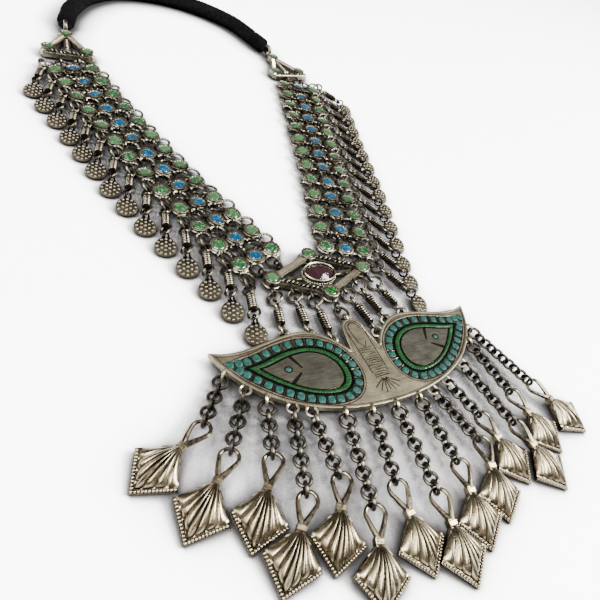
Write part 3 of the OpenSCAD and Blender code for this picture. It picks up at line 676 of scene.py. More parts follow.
# Drawn wire, tarnished between its turns. Grains, rubbed bright. The disc under them, dull
coil_silver = silver_material("coil_silver", "#554f43", "#211e18", "#010101", rough=0.26,
                              edge_share=0.3)
grain_silver = silver_material("grain_silver", "#5c5648", "#1d1a15", "#020201", rough=0.28,
                               edge_share=0.7, edge_from=0.47)
disc_silver = silver_material("disc_silver", "#26221b", "#100e0a", "#010100", rough=0.46,
                              edge_share=0.3)
for side, s in STRAPS.items():
    dangles(side, s)

# Centre frame. The lozenge is built of engraved flat bars and bars topped with twisted wire, with
# an enamelled cup on each corner and an oval collar with a beaded foot round the garnet.

FRAME_LOW, FRAME_TOP = 1.0, 3.3
LOZENGE_X, LOZENGE_Y = 17.3, 8.5
CORNERS = {"left": (-LOZENGE_X, 0), "top": (0, LOZENGE_Y), "right": (LOZENGE_X, 0),
           "bottom": (0, -LOZENGE_Y)}
CORNER_CUP_R, CORNER_CUP_TOP, CORNER_CUP_TEETH = 2.7, 4.0, 12
# Where each hanger leaves the frame, and its foot on the pendant plate
HANGERS = [(-18.6, -4.4, -22.5, -20.5), (-12, -4.8, -14.5, -21.9), (-6.2, -7.7, -8.4, -25.9),
           (6.2, -7.7, 8.4, -25.9), (12, -4.8, 14.5, -21.9), (18.6, -4.4, 22.5, -20.5)]
BAR_HALF, BAR_CUT_STEP = 1.15, 0.75
TWIST_R, TWIST_WIRE_R, TWIST_PITCH, TWIST_INSET = 0.42, 0.37, 2.7, 2.2
EYELET_R, EYELET_WIRE, EYELET_Z = 1.45, 0.8, 1.9
# From a strap's end ring to the eyelet that holds it, and the stem of an eyelet for a hanger
EYELET_AT, HANGER_STEM = 2.3, 1.4
COLLAR_A, COLLAR_B = 6.2, 4.7
# Distance in from the outside, and height, of the collar and of the ledge that holds the stone
COLLAR = [(0, 0), (0, 2.1), (0.35, 2.3), (0.45, 3.1), (0.4, 3.8), (0.6, 4.0), (0.85, 3.85),
          (0.9, 2.2), (0.9, 0)]
LEDGE = [(0.9, 2.2), (0.9, 3.3), (1.15, 3.4), (1.4, 3.1), (1.4, 2.2)]
# Plan corners of the four stays between collar and corners
STAYS = [(-17.3, -0.8, -5.3, 0.8), (5.3, -0.8, 17.3, 0.8), (-0.8, 3.7, 0.8, 8.5),
         (-0.8, -8.5, 0.8, -3.7)]


def sheet_material(name, shades):
    """Sheet silver rubbed nearly smooth, with long fine scratches and faint grey stains, black
    only in its corners. The scratches are drawn 0.18 mm wide, over their real size, to show"""
    material, shader = new_material(name, {"Metallic": 1.0})
    where = add_node(material, "ShaderNodeTexCoord").outputs["Object"]
    drawn = add_node(material, "ShaderNodeMapping",
                     {"Scale": (1 / (4 * MM), 1 / (0.18 * MM), 1 / (0.18 * MM)),
                      "Rotation": (0, 0, 0.5)}, {"Vector": where})
    scratches = add_node(material, "ShaderNodeTexNoise",
                         {"Scale": 1.0, "Detail": 4, "Roughness": 0.5}, {"Vector": drawn})
    stains = add_node(material, "ShaderNodeTexNoise",
                      {"Scale": 1 / (5 * MM), "Detail": 5, "Roughness": 0.6}, {"Vector": where})
    shade = add_node(material, "ShaderNodeAmbientOcclusion",
                     {"samples": 6, "Distance": 0.9 * MM}).outputs["AO"]
    tone = add_node(material, "ShaderNodeMix", {"data_type": "RGBA", 0: 0.5},
                    {6: scratches, 7: stains}).outputs[2]
    metal = add_node(material, "ShaderNodeValToRGB", None, {"Fac": tone},
                     list(zip((0.36, 0.5, 0.66), shades)))
    clean = add_node(material, "ShaderNodeValToRGB", None, {"Fac": shade},
                     [(0.3, 0.0), (0.85, 1.0)])
    feed(material, shader, {
        "Base Color": add_node(material, "ShaderNodeMix",
                               {"data_type": "RGBA", 6: linear("#0a0a07")},
                               {0: clean, 7: metal}).outputs[2],
        "Roughness": add_node(material, "ShaderNodeValToRGB", None, {"Fac": scratches},
                              [(0.35, 0.42), (0.65, 0.27)]),
        "Normal": add_node(material, "ShaderNodeBump", {"Strength": 1.0, "Distance": 0.02 * MM},
                           {"Height": scratches})})
    return material


def block(low, high):
    """Plain box between two corners, its upper edges slightly drawn in"""
    (a, b, c), (d, e, f) = low, high
    k = min(0.15, (f - c) / 3)
    points = [(a, b, c), (d, b, c), (d, e, c), (a, e, c),
              (a, b, f - k), (d, b, f - k), (d, e, f - k), (a, e, f - k),
              (a + k, b + k, f), (d - k, b + k, f), (d - k, e - k, f), (a + k, e - k, f)]
    faces = [[3, 2, 1, 0], [8, 9, 10, 11]]
    for i in range(4):
        j = (i + 1) % 4
        faces += [[i, j, 4 + j, 4 + i], [4 + i, 4 + j, 8 + j, 8 + i]]
    return points, faces


def engraved_bar(form, a, b):
    """Flat bar with a bright edge along both sides and slanting ridges between its cuts"""
    a, b = np.array(a, float), np.array(b, float)
    length = np.linalg.norm(b - a)
    place = aim(a, 0, plan_angle(b - a))
    face = FRAME_TOP - 0.3
    form.add(block((-BAR_HALF, 0, FRAME_LOW), (BAR_HALF, length, face)), place)
    for x in (-0.95, 0.95):
        form.add(tube([[x, 0, face], [x, length, face]], 0.24, 6), place, 1)
    for y in np.arange(0.6, length - 0.6, BAR_CUT_STEP):
        ridge = [[-0.75, y - 0.35, face + 0.02], [0.75, y + 0.35, face + 0.02]]
        form.add(tube(ridge, 0.2, 5), place, 1)


def roped_bar(form, a, b):
    """Flat bar with two twisted wires along its top"""
    a, b = np.array(a, float), np.array(b, float)
    length = np.linalg.norm(b - a)
    place = aim(a, 0, plan_angle(b - a))
    form.add(block((-BAR_HALF, 0, FRAME_LOW), (BAR_HALF, length, FRAME_TOP - 0.2)), place)
    y = np.linspace(TWIST_INSET, length - TWIST_INSET, int(length * 5))
    for start in (0, math.pi):
        t = y * 2 * math.pi / TWIST_PITCH + start
        wire = [TWIST_R * np.cos(t), y, FRAME_TOP + 0.02 + TWIST_R * np.sin(t)]
        form.add(tube(np.column_stack(wire), TWIST_WIRE_R, 6), place)
    for x in (-1.0, 1.0):
        edge = [[x, 0, FRAME_TOP - 0.15], [x, length, FRAME_TOP - 0.15]]
        form.add(tube(edge, 0.16, 5), place)


def eyelet(form, p, angle, stem, z=EYELET_Z, roll=90.0, flip=False):
    """Small soldered loop with a stem back to what carries it"""
    form.add(roped_ring(EYELET_R, EYELET_WIRE, 24, 7), aim(p, z, angle, 0, roll), 0, flip)
    path = [[0, EYELET_R + share * stem, 0] for share in (0, 0.5, 1)]
    form.add(tube(path, [0.36, 0.42, 0.55], 7), aim(p, z, angle), 0, flip)


def oval_wall(profile, a, b, sides=64):
    """Oval collar. profile gives (distance in from the outer edge, height)"""
    t = np.linspace(0, 2 * math.pi, sides, endpoint=False)
    points = [[(a - d) * math.cos(u), (b - d) * math.sin(u), z] for d, z in profile for u in t]
    n = len(profile)
    faces = [[i * sides + k, i * sides + (k + 1) % sides, (i + 1) % n * sides + (k + 1) % sides,
              (i + 1) % n * sides + k] for i in range(n) for k in range(sides)]
    return points, faces


def centre_frame():
    form, green_fill, bright_fill = Form(), Form(), Form()
    engraved_bar(form, CORNERS["left"], CORNERS["top"])
    roped_bar(form, CORNERS["top"], CORNERS["right"])
    engraved_bar(form, CORNERS["right"], CORNERS["bottom"])
    roped_bar(form, CORNERS["bottom"], CORNERS["left"])
    body, fill = enamel_cup(CORNER_CUP_R, FRAME_LOW, CORNER_CUP_TOP, CORNER_CUP_TEETH)
    for name, at in CORNERS.items():
        place = (turn("z", 20), np.array([*at, 0.0]))
        form.add(body, place)
        (bright_fill if name == "bottom" else green_fill).add(fill, place)
    # Two thin strips cross over the lower cup
    for a in np.radians([45, 135]):
        strip = np.outer([-1.9, 0, 1.9], [math.cos(a), math.sin(a)]) + CORNERS["bottom"]
        form.add(tube(np.column_stack([strip, [3.93, 3.98, 3.93]]), 0.15, 6))
    form.add(oval_wall(COLLAR, COLLAR_A, COLLAR_B))
    form.add(oval_wall(LEDGE, COLLAR_A, COLLAR_B))
    for t in np.linspace(0, 2 * math.pi, 40, endpoint=False):
        at = [(COLLAR_A - 0.25) * math.cos(t), (COLLAR_B - 0.25) * math.sin(t), 2.45]
        form.add(grain(0.36, 8), (np.eye(3), np.array(at)))
    for x, y, end_x, end_y in STAYS:
        form.add(block((x, y, FRAME_LOW), (end_x, end_y, 2.2)))
    # A scroll of wire in each of the four corners beside the collar
    t = np.linspace(0.4, 8.2, 30)
    r = 0.32 + 0.13 * t
    for x in (-1, 1):
        for y in (-1, 1):
            scroll = [x * (9.6 + r * np.cos(t)), y * (1.55 + 0.75 * r * np.sin(t)) * 0.9,
                      2.35 + 0 * t]
            form.add(tube(np.column_stack(scroll), 0.22, 6))
    inward = -heading(90 - math.degrees(math.atan2(LOZENGE_X, LOZENGE_Y)))
    for side, s in STRAPS.items():
        for c in (-1, 1):
            p = strap_point(s, -END_RING, c * COLUMN / 2) + EYELET_AT * inward
            stem = (np.array([0, LOZENGE_Y]) - p) @ inward - EYELET_R
            eyelet(form, p, plan_angle(inward), stem, flip=side == "left")
    for x, y, foot_x, foot_y in HANGERS:
        up_angle = plan_angle((x - foot_x, y - foot_y))
        eyelet(form, (x, y), up_angle, HANGER_STEM, roll=50)
    eyelet(form, (0, -14.2), 0, 2.6)
    node = "centre_frame"
    form.piece(node + "_metal", "silver", [aged_silver, sheet_silver], [node])
    green_fill.piece(node + "_green", "green_enamel", [pale_green], [node], 60)
    bright_fill.piece(node + "_bright_green", "green_enamel", [bright_green], [node], 60)


sheet_silver = sheet_material("sheet_silver", ("#665f4e", "#8a826c", "#b0a78f"))
bright_green = enamel_material("bright_green_enamel", "#011405", "#03300c", "#0a4d18", patch=1.2)
centre_frame()

# Garnet. One dark red oval stone, cut with a table and a step of facets, lights up the middle of
# the lozenge. The CAD solid is already cut this way, so it keeps its form.


def garnet_material():
    """Polished garnet: a hard, wet gloss over a red so deep that it is nearly black"""
    material, shader = new_material("garnet", {"Roughness": 0.05, "IOR": 1.76,
                                               "Coat Weight": 1.0, "Coat Roughness": 0.02})
    where = add_node(material, "ShaderNodeTexCoord").outputs["Object"]
    clouds = add_node(material, "ShaderNodeTexNoise",
                      {"Scale": 1 / (2.5 * MM), "Detail": 2, "Roughness": 0.5},
                      {"Vector": where})
    feed(material, shader, {
        "Base Color": add_node(material, "ShaderNodeValToRGB", None, {"Fac": clouds},
                               [(0.35, "#070002"), (0.7, "#1b0206")])})
    return material


for stone_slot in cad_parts["garnet"].material_slots:
    stone_slot.material = garnet_material()

# End plates. A triangle of bars joins the top of each strap to the cord. It carries three small
# enamelled cups and a heavy bail on its apex.

END_HALF, END_APEX = 9.5, 18.3
END_CUPS, END_CUP_TOP = [(-7.5, 3.7), (7.5, 3.7), (0, END_APEX)], 3.8
NECK_BAIL_R, NECK_BAIL_THICK = 2.4, 1.6


def end_plate(side, s):
    form, fill_form, bars = Form(), Form(), Form()
    flip = side == "left"
    place = aim(plate_point(s), 0, END_PLATE_TURN)
    roped_bar(bars, (-END_HALF, 0), (END_HALF, 0))
    engraved_bar(bars, (-END_HALF, 0), (0, END_APEX))
    engraved_bar(bars, (END_HALF, 0), (0, END_APEX))
    body, fill = enamel_cup(CORNER_CUP_R, FRAME_LOW, END_CUP_TOP, CORNER_CUP_TEETH)
    for x, y in END_CUPS:
        at = np.array([x, y, 0])
        bars.add(body, (np.eye(3), at))
        fill_form.add(fill, (place[0], place[1] + place[0] @ at), 0, flip)
    # The middle strut with its grains, then the bail and the block that carries it
    bars.add(block((-1.2, 3.7, FRAME_LOW), (1.2, END_APEX, 2.4)))
    for y in np.arange(5.5, 15, 1.6):
        bars.add(grain(0.6), (np.eye(3), np.array([0, y, 2.3])))
    bars.add(tube(circle(NECK_BAIL_R, 36), NECK_BAIL_THICK / 2, 12, True),
             (turn("y", 90), np.array([0, NECK_BAIL_Y, NECK_BAIL_Z])))
    bars.add(block((-0.8, END_APEX, FRAME_LOW), (0.8, 22.3, 3.4)))
    form.add((np.concatenate(bars.points), bars.faces), place, 0, flip)
    form.kinds[-len(bars.faces):] = bars.kinds
    outward = heading(END_PLATE_TURN)
    for c in (-1, 1):
        p = strap_point(s, ROWS - 1 + END_RING, c * COLUMN / 2) + EYELET_AT * outward
        stem = (plate_point(s) - p) @ outward - EYELET_R
        eyelet(form, p, END_PLATE_TURN, stem, flip=flip)
    node = "end_plate_" + side
    form.piece(node + "_metal", "silver", [aged_silver, sheet_silver], [node])
    fill_form.piece(node + "_green", "green_enamel", [pale_green], [node], 60)


for side, s in STRAPS.items():
    end_plate(side, s)

# Pendant plate. A leaf pair of sheet silver with a proud smooth rim, a border line, a ladder of
# cuts down the middle finger and a recess for the enamels of each wing.

PLATE_LOW, PLATE_TOP, GROOVE = 1.7, 3.2, 0.35
PLATE_FLOOR, LINE_Z = PLATE_TOP - GROOVE, PLATE_TOP + 0.012
LOWER_EDGE = [(0, -49.8), (22, -49.8), (41, -41), (46.3, -22.8)]
WING_TIP = [(46.3, -22.8), (38, -26.5), (29, -21.4), (19.5, -21.4)]
WING_ROOT = [(19.5, -21.4), (13.5, -21.4), (8, -26), (5, -31.5)]
FINGER_R, FINGER_Y = 3.9, -23.9
TEARDROP = [[(38.4, -29.4), (33.5, -29.3), (28, -26.4), (21.5, -26.4)],
            [(21.5, -26.4), (14, -26.4), (8.8, -31), (8.8, -37)],
            [(8.8, -37), (8.8, -41), (11.2, -43.4), (15, -43.4)],
            [(15, -43.4), (23.5, -43.4), (32, -37), (38.4, -29.4)]]
# The field inside the enamel band: its share of the teardrop, and the point it shrinks to
FIELD_SHARE, FIELD_MIDDLE = 0.75, (20.5, -35.4)
# Turquoise cells: their near and far edge outside the teardrop, how many lie along each of its
# four curves, and the place and way of each cell in its tip
CELL_IN, CELL_OUT, CELL_SIZE = 0.1, 3.0, (2.35, 2.1, 0.34)
CELLS = [5, 7, 4, 10]
TIP_CELLS = [(40.1, -30, 0.65, 0.76), (42.0, -27.6, 0.92, 0.4), (39.5, -27.7, -1, 0.04)]
# Share of the way across the green band, height, and 1 on the dark line along both its edges
BAND = [(0.0, 0.0, 1), (0.1, 0.14, 1), (0.22, 0.18, 1), (0.34, 0.34, 0), (0.5, 0.4, 0),
        (0.66, 0.34, 0), (0.78, 0.18, 1), (0.9, 0.14, 1), (1.0, 0.0, 1)]
RIB_STEP, RIB_DEPTH = 0.95, 0.13
WEDGES = [((24.8, -28.9), (22.8, -33.2)), ((27.4, -37.2), (23.6, -34.6))]
DOT = (26.9, -32.8)
# For each drop: its lug's place along the lower edge from tip to tip, the way of its chain, the
# links in it, and the way of the drop
DROPS = [(-0.87, 219, 5, 244.5), (-0.747, 213.5, 6, 226), (-0.639, 199, 5, 215),
         (-0.513, 198, 8, 219), (-0.424, 186, 6, 210), (-0.266, 195, 9, 201),
         (-0.135, 196, 7, 182), (-0.012, 190, 9, 184), (0.119, 186, 7, 189),
         (0.213, 171.5, 6, 193), (0.326, 172.5, 4, 169.5), (0.509, 176, 8, 167),
         (0.706, 180, 7, 165), (0.82, 166, 9, 151.5)]
LUG_Z, LUG_STEP, RING_STEP, LINK_STEP, BAIL_STEP = 2.45, 2.48, 2.68, 2.38, 2.73
# Numbers of the plate's materials
SHEET, DIRT, PASTE, FIELD, AGED = range(5)


def bezier(p, t):
    """Points at t, from 0 to 1, along the curve of four control points"""
    p, t = np.array(p, float), np.atleast_1d(t)[:, None]
    return (1 - t) ** 3 * p[0] + 3 * t * (1 - t) ** 2 * p[1] + \
        3 * t * t * (1 - t) * p[2] + t ** 3 * p[3]


def curve_run(p, n):
    return bezier(p, np.arange(n) / n)


def pendant_outline():
    steps = 26
    turns = np.radians(range(0, 90, 10))
    finger = np.column_stack([FINGER_R * np.cos(turns), FINGER_Y + FINGER_R * np.sin(turns)])
    half = np.vstack([curve_run(LOWER_EDGE, 2 * steps), curve_run(WING_TIP, steps),
                      curve_run(WING_ROOT, steps), WING_ROOT[-1:], finger])
    other = half[::-1] * [-1, 1]
    return np.vstack([half, [[0, FINGER_Y + FINGER_R]], other[other[:, 0] < -0.001]])


def teardrop(n):
    return np.vstack([curve_run(part, n) for part in TEARDROP])


def moved(points, d):
    """Closed curve moved outwards by a distance, its corners kept sharp as in the CAD source"""
    a, b = points - np.roll(points, 1, 0), np.roll(points, -1, 0) - points
    a, b = a / np.linalg.norm(a, axis=1)[:, None], b / np.linalg.norm(b, axis=1)[:, None]
    t = (a + b) / np.linalg.norm(a + b, axis=1)[:, None]
    reach = d / np.maximum(np.sum(t * b, axis=1), 0.6)
    return points + reach[:, None] * np.column_stack([t[:, 1], -t[:, 0]])


def drawn_in(points):
    """The teardrop drawn in to the field inside the enamel band"""
    return np.array(FIELD_MIDDLE) + (points - FIELD_MIDDLE) * FIELD_SHARE


def slab(outer, z0, z1, *holes):
    """Plate between two heights, with straight walls and any holes"""
    loops = [outer, *holes]
    flat = np.vstack(loops)
    tris = tessellate([[Vector((*p, 0)) for p in loop] for loop in loops])
    n = len(flat)
    points = np.vstack([lifted(flat, z0), lifted(flat, z1)])
    faces = []
    for a, b, c in tris:
        u, v = flat[b] - flat[a], flat[c] - flat[a]
        if u[0] * v[1] - u[1] * v[0] < 0:
            b, c = c, b
        faces += [[a + n, b + n, c + n], [c, b, a]]
    start = 0
    for index, loop in enumerate(loops):
        m = len(loop)
        area = np.sum(loop[:, 0] * np.roll(loop[:, 1], -1) - np.roll(loop[:, 0], -1) * loop[:, 1])
        out = (area > 0) == (index == 0)
        for i in range(m):
            a, b = start + i, start + (i + 1) % m
            faces.append([a, b, b + n, a + n] if out else [b, a, a + n, b + n])
        start += m
    return points, faces


def ribbon(path, width, z, closed=False):
    """Flat line drawn on the plate"""
    path = np.asarray(path, float)
    t = np.roll(path, -1, 0) - np.roll(path, 1, 0)
    if not closed:
        t[0], t[-1] = path[1] - path[0], path[-1] - path[-2]
    t /= np.maximum(np.linalg.norm(t, axis=1), 1e-9)[:, None]
    side = np.column_stack([t[:, 1], -t[:, 0]]) * width / 2
    n = len(path)
    faces = [[i, (i + 1) % n, n + (i + 1) % n, n + i] for i in range(n if closed else n - 1)]
    return np.vstack([lifted(path + side, z), lifted(path - side, z)]), faces


def both(form, part, kind=0):
    """The part on the right wing and its mirror image on the left wing"""
    form.add(part, None, kind)
    form.add(part, None, kind, True)


def lug_points():
    """Where the lugs of the fourteen chains stand along the lower edge"""
    for along, *_ in DROPS:
        u = abs(along)
        e, ahead = bezier(LOWER_EDGE, u)[0], bezier(LOWER_EDGE, u + 0.01)[0]
        t = (ahead - e) / np.linalg.norm(ahead - e)
        yield np.array([math.copysign(1, along) * (e[0] + 0.9 * t[1]), e[1] - 0.9 * t[0]])


def chain_length(d):
    """From the lug to the middle of the bail"""
    return LUG_STEP + RING_STEP + (d[2] - 1) * LINK_STEP + BAIL_STEP


def chain_roll(d, i):
    """Turn of link i of a chain about its own run. The last one is the same on every chain"""
    return -78 if (d[2] - i) % 2 == 0 else 12


def cell_places():
    """Point and way of each cell round the right teardrop, spaced as the squares in the source"""
    for part, count in zip(TEARDROP, CELLS):
        for i in range(count):
            p, q = bezier(part, [(i + 0.5) / count, (i + 0.51) / count])
            t = (q - p) / np.linalg.norm(q - p)
            yield p + (CELL_IN + CELL_OUT) / 2 * np.array([t[1], -t[0]]), t
    for x, y, *way in TIP_CELLS:
        yield np.array([x, y]), np.array(way)


def tile(width, length, height):
    """Rounded pillow of enamel"""
    points, faces = [], []
    n = 12
    for scale, z in ((1.0, 0.0), (0.98, 0.8), (0.9, 0.97), (0.4, 1.0)):
        for i in range(n):
            a = 2 * math.pi * i / n
            c, s = math.cos(a), math.sin(a)
            k = (abs(c) ** 4 + abs(s) ** 4) ** (-1 / 4)
            points.append([0.5 * width * scale * c * k, 0.5 * length * scale * s * k, z * height])
    for r in range(3):
        for i in range(n):
            j = (i + 1) % n
            faces.append([r * n + i, r * n + j, (r + 1) * n + j, (r + 1) * n + i])
    faces += [[3 * n + i for i in range(n)], list(range(n))[::-1]]
    return points, faces


def finger_lines(form):
    """Long ovals, the ladder of cross cuts and the fan at the root of the middle finger"""
    t = np.linspace(0, math.pi, 20)
    outer = np.column_stack([3.1 * np.cos(t), FINGER_Y + 3.1 * np.sin(t)])
    inner = np.column_stack([1.9 * np.cos(t), -24.2 + 2.6 * np.sin(t)])
    leg = np.array([[-2.945, -31.5], [-2.79, -40]])
    foot = [[-1.425, -29.0], [0, -31.0], [1.425, -29.0]]
    for line in ([leg[::-1] * [-1, 1], outer, leg], [inner, foot]):
        form.add(ribbon(np.vstack(line), 0.3, LINE_Z), None, DIRT)
    for i, y in enumerate(np.linspace(-31.4, -41.5, 14)):
        cut = np.array([[-2.5, y + 0.25 * math.sin(i)], [0, y + 0.1 * math.cos(i)],
                        [2.5, y + 0.25 * math.cos(2 * i)]])
        form.add(ribbon(cut, 0.16, LINE_Z), None, DIRT)
        form.add(tube(lifted(cut - [0, 0.38], LINE_Z - 0.06), 0.28, 6), None, SHEET)
    root = np.array([0, -41.8])
    for a in (-58, -38, -18, 0, 18, 38, 58):
        way = np.array([math.sin(math.radians(a)), -math.cos(math.radians(a))])
        stroke = [root + 0.6 * way, root + (5.2 if a else 4.4) * way]
        form.add(ribbon(stroke, 0.32, LINE_Z), None, DIRT)


def wing_marks(plate, teal_form):
    """Two wedge strokes and a ringed turquoise dot on the field of each wing"""
    for start, end in WEDGES:
        start, end = np.array(start), np.array(end)
        side = np.array([end[1] - start[1], start[0] - end[0]]) / np.linalg.norm(end - start)
        corners = [start + 0.6 * side, end + 0.27 * side, end - 0.27 * side, start - 0.6 * side]
        both(plate, (lifted(corners, LINE_Z), [[0, 1, 2, 3]]), DIRT)
    ring = circle(1.0, 20)[:, :2] * [1.1, 0.9] + DOT
    both(plate, ribbon(ring, 0.36, LINE_Z + 0.01, True), DIRT)
    points, faces = grain(0.8, 14)
    both(teal_form, (points * [1, 0.9, 0.2] + [*DOT, PLATE_TOP], faces))


def cells_and_walls(plate, teal_form):
    """Turquoise pillows in their cells, with a thin wall and a line of red paste between them"""
    cells = list(cell_places())
    body, sides = tile(*CELL_SIZE)
    for p, t in cells:
        points = np.array(body) @ turn("z", -plan_angle(t)).T + [*p, PLATE_FLOOR + 0.1]
        both(teal_form, (points, sides))
    for (p, t), (q, u) in zip(cells, cells[1:-2]):
        m, side = (p + q) / 2, np.array([(t + u)[1], -(t + u)[0]])
        side = side / np.linalg.norm(side)
        wall = [[*(m - 1.35 * side), PLATE_TOP - 0.2], [*(m + 1.9 * side), PLATE_TOP - 0.1]]
        both(plate, tube(wall, 0.17, 5), AGED)
        both(plate, ribbon([m - 0.2 * side, m + 2.1 * side], 0.16, LINE_Z + 0.03), PASTE)


def green_band(form):
    """Ribbed enamel band round the field of each wing, with a dark line along both its edges"""
    band = teardrop(70)
    outside, inside = moved(band, -0.12), moved(drawn_in(band), 0.12)
    run = np.cumsum(np.linalg.norm(np.roll(band, -1, 0) - band, axis=1))
    rib = 0.5 + 0.5 * np.cos(2 * math.pi * run / RIB_STEP)
    points, faces, kinds = [], [], []
    for share, height, edge in BAND:
        z = PLATE_FLOOR + 0.12 + height - (0 if edge else RIB_DEPTH) * (1 - rib)
        points.append(np.column_stack([outside + (inside - outside) * share, z]))
    m = len(band)
    for r in range(len(BAND) - 1):
        dark = BAND[r][2] and BAND[r + 1][2]
        for i in range(m):
            j = (i + 1) % m
            faces.append([r * m + i, r * m + j, (r + 1) * m + j, (r + 1) * m + i])
            kinds.append(1 if dark else 2 if rib[i] < 0.2 else 0)
    for mirror in (False, True):
        form.add((np.vstack(points), faces), None, 0, mirror)
        form.kinds[-len(faces):] = kinds


def pendant():
    plate, green_form, teal_form = Form(), Form(), Form()
    outline, drop = pendant_outline(), teardrop(30)
    recess = moved(teardrop(14), CELL_OUT)
    plate.add(slab(outline, PLATE_LOW, PLATE_FLOOR))
    plate.add(slab(outline, PLATE_FLOOR, PLATE_TOP, recess, recess[::-1] * [-1, 1]))
    both(plate, slab(moved(drop, CELL_IN), PLATE_FLOOR, PLATE_TOP, moved(drop, -0.02)), DIRT)
    both(plate, slab(drawn_in(drop), PLATE_FLOOR, PLATE_TOP), FIELD)
    cell_middle, cell_width = (CELL_IN + CELL_OUT) / 2, CELL_OUT - CELL_IN - 0.05
    both(plate, ribbon(moved(drop, cell_middle), cell_width, PLATE_FLOOR + 0.05, True), AGED)
    rim = lifted(moved(outline, -0.42), PLATE_TOP - 0.05)
    plate.add(tube(rim, 0.42, 8, True, 0.6))
    both(plate, ribbon(moved(drop, CELL_OUT + 0.55), 0.3, LINE_Z, True), PASTE)
    plate.add(ribbon(moved(outline, -1.0), 0.16, LINE_Z, True), None, DIRT)
    cells_and_walls(plate, teal_form)
    both(plate, tube(lifted(moved(drop, CELL_OUT), PLATE_TOP - 0.05), 0.12, 5, True), AGED)
    wing_marks(plate, teal_form)
    finger_lines(plate)
    green_band(green_form)
    for d, p in zip(DROPS, LUGS):
        bail = p + chain_length(d) * heading(d[1])
        eyelet(plate, p, plan_angle(p - bail), 1.2, LUG_Z, 90 - chain_roll(d, 0))
    for x, y, foot_x, foot_y in HANGERS:
        down_angle = plan_angle((foot_x - x, foot_y - y))
        eyelet(plate, (foot_x, foot_y), down_angle, HANGER_STEM, roll=40)
    eyelet(plate, (0, -19.1), 180, HANGER_STEM)
    plate.piece("pendant_plate_metal", "silver",
                [sheet_silver, black_line, red_brown, inner_silver, aged_silver],
                ["pendant_plate"])
    green_form.piece("pendant_green_band", "green_enamel", [band_green, dark_green, deep_green],
                     ["pendant_green"], 60)
    teal_form.piece("pendant_turquoise_cells", "turquoise_enamel", [teal],
                    ["pendant_turquoise"], 60)


# The field inside the bands, darker than the sheet round it, then worn enamels with little gloss
# and the dull red-brown paste that is left along the cells
inner_silver = sheet_material("inner_silver", ("#46443b", "#5c594e", "#716d61"))
teal = enamel_material("turquoise_enamel", "#03100e", "#08241f", "#173a33", patch=0.8,
                       rough=0.5, coat=0.0, gloss=0.12)
band_green = enamel_material("band_green_enamel", "#021004", "#052008", "#103313", patch=0.8,
                             rough=0.6, coat=0.0, gloss=0.05)
deep_green = enamel_material("deep_green_enamel", "#010802", "#021004", "#041a07", patch=0.8,
                             rough=0.4, coat=0.1, gloss=0.15)
dark_green = enamel_material("dark_green_line", "#010201", "#010302", "#030803", patch=0.8,
                             rough=0.6, coat=0.0, gloss=0.0)
red_brown = enamel_material("red_brown_paste", "#080201", "#170603", "#260b05", patch=0.8,
                            rough=0.6, coat=0.0, gloss=0.1)
LUGS = list(lug_points())
pendant()

# Hangers. Six coiled wire links and one jump ring hold the pendant under the lozenge. The coils
# are wound like those of the dangles, and each link hangs in a jump ring of the frame.

HANGER_Z, HANGER_RING_AT, HANGER_LINK_AT, HANGER_SPARE = 2.0, 2.45, 5.55, 7.6


def hangers():
    form = Form()
    ring = roped_ring(*JUMP_RING, 32, 8)
    form.add(ring, (np.eye(3), np.array([0, -16.65, 1.9])))
    for x, y, foot_x, foot_y in HANGERS:
        way = np.array([foot_x - x, foot_y - y])
        angle = plan_angle(way)
        form.add(ring, aim((x, y), HANGER_Z, angle, 0, 40, (0, HANGER_RING_AT, 0)))
        link_place = aim((x, y), HANGER_Z, angle, 0, -50, (0, HANGER_LINK_AT, 0))
        coil_link(form, link_place, np.linalg.norm(way) - HANGER_SPARE, False)
    form.piece("hanger_links_metal", "silver", [coil_silver, black_line], ["hanger_links"])


hangers()

# Chains. Each drop hangs from a lug of the plate by one jump ring and a run of small round links,
# every link turned across the one before it.

# The kite's corners count from its bail, and its far tip rests on the ground
KITE_TOP, KITE_L, KITE_BACK, DROP_LEAN = 5.7, 14.8, 0.9, 8
KITE_TIP = KITE_TOP + KITE_L
DROP_Z = KITE_TIP * math.sin(math.radians(DROP_LEAN)) + \
    KITE_BACK * math.cos(math.radians(DROP_LEAN)) + 0.02


def chain(number, d, lug):
    form = Form()
    length = chain_length(d)
    slope = math.degrees(math.atan2(DROP_Z - LUG_Z, length))
    jump_ring, link = roped_ring(2.0, 1.0, 26, 8), roped_ring(1.65, 0.96, 24, 8)
    for i in range(d[2] + 1):
        along = LUG_STEP + RING_STEP + (i - 1) * LINK_STEP if i else LUG_STEP
        z = LUG_Z + (DROP_Z - LUG_Z) * along / length
        place = aim(lug + along * heading(d[1]), z, d[1], slope, chain_roll(d, i))
        form.add(link if i else jump_ring, place)
    node = "chain_%d" % number
    form.piece(node + "_metal", "silver", [gunmetal_silver], [node])


# Soldered wire links, dark all over and bright only where they rub on each other
gunmetal_silver = silver_material("gunmetal_silver", "#59544a", "#24211c", "#010101", rough=0.3)
for number, (d, lug) in enumerate(zip(DROPS, LUGS), 1):
    chain(number, d, lug)

# Drops. Each is a hollow kite of two pressed silver shells. The front one is puffed and fluted like
# a shell, with beads along both lower edges, a square collar and a thick tapered bail.

KITE_W, KITE_WIDE, PUFF, FLUTES = 13.8, KITE_TOP + 0.5 * KITE_L, 2.6, 7
# Start, half width, length and height of the three blocks of the collar
COLLAR_BLOCKS = [(5.0, 0.95, 0.4, 1.0), (5.35, 1.12, 1.35, 1.15), (6.75, 1.0, 0.4, 1.0)]
BAIL_R = 2.3
BAIL_LEG = [[0.25, 5.3, -0.45], [0.5, 4.7, -0.36], [1.15, 3.4, -0.15]]


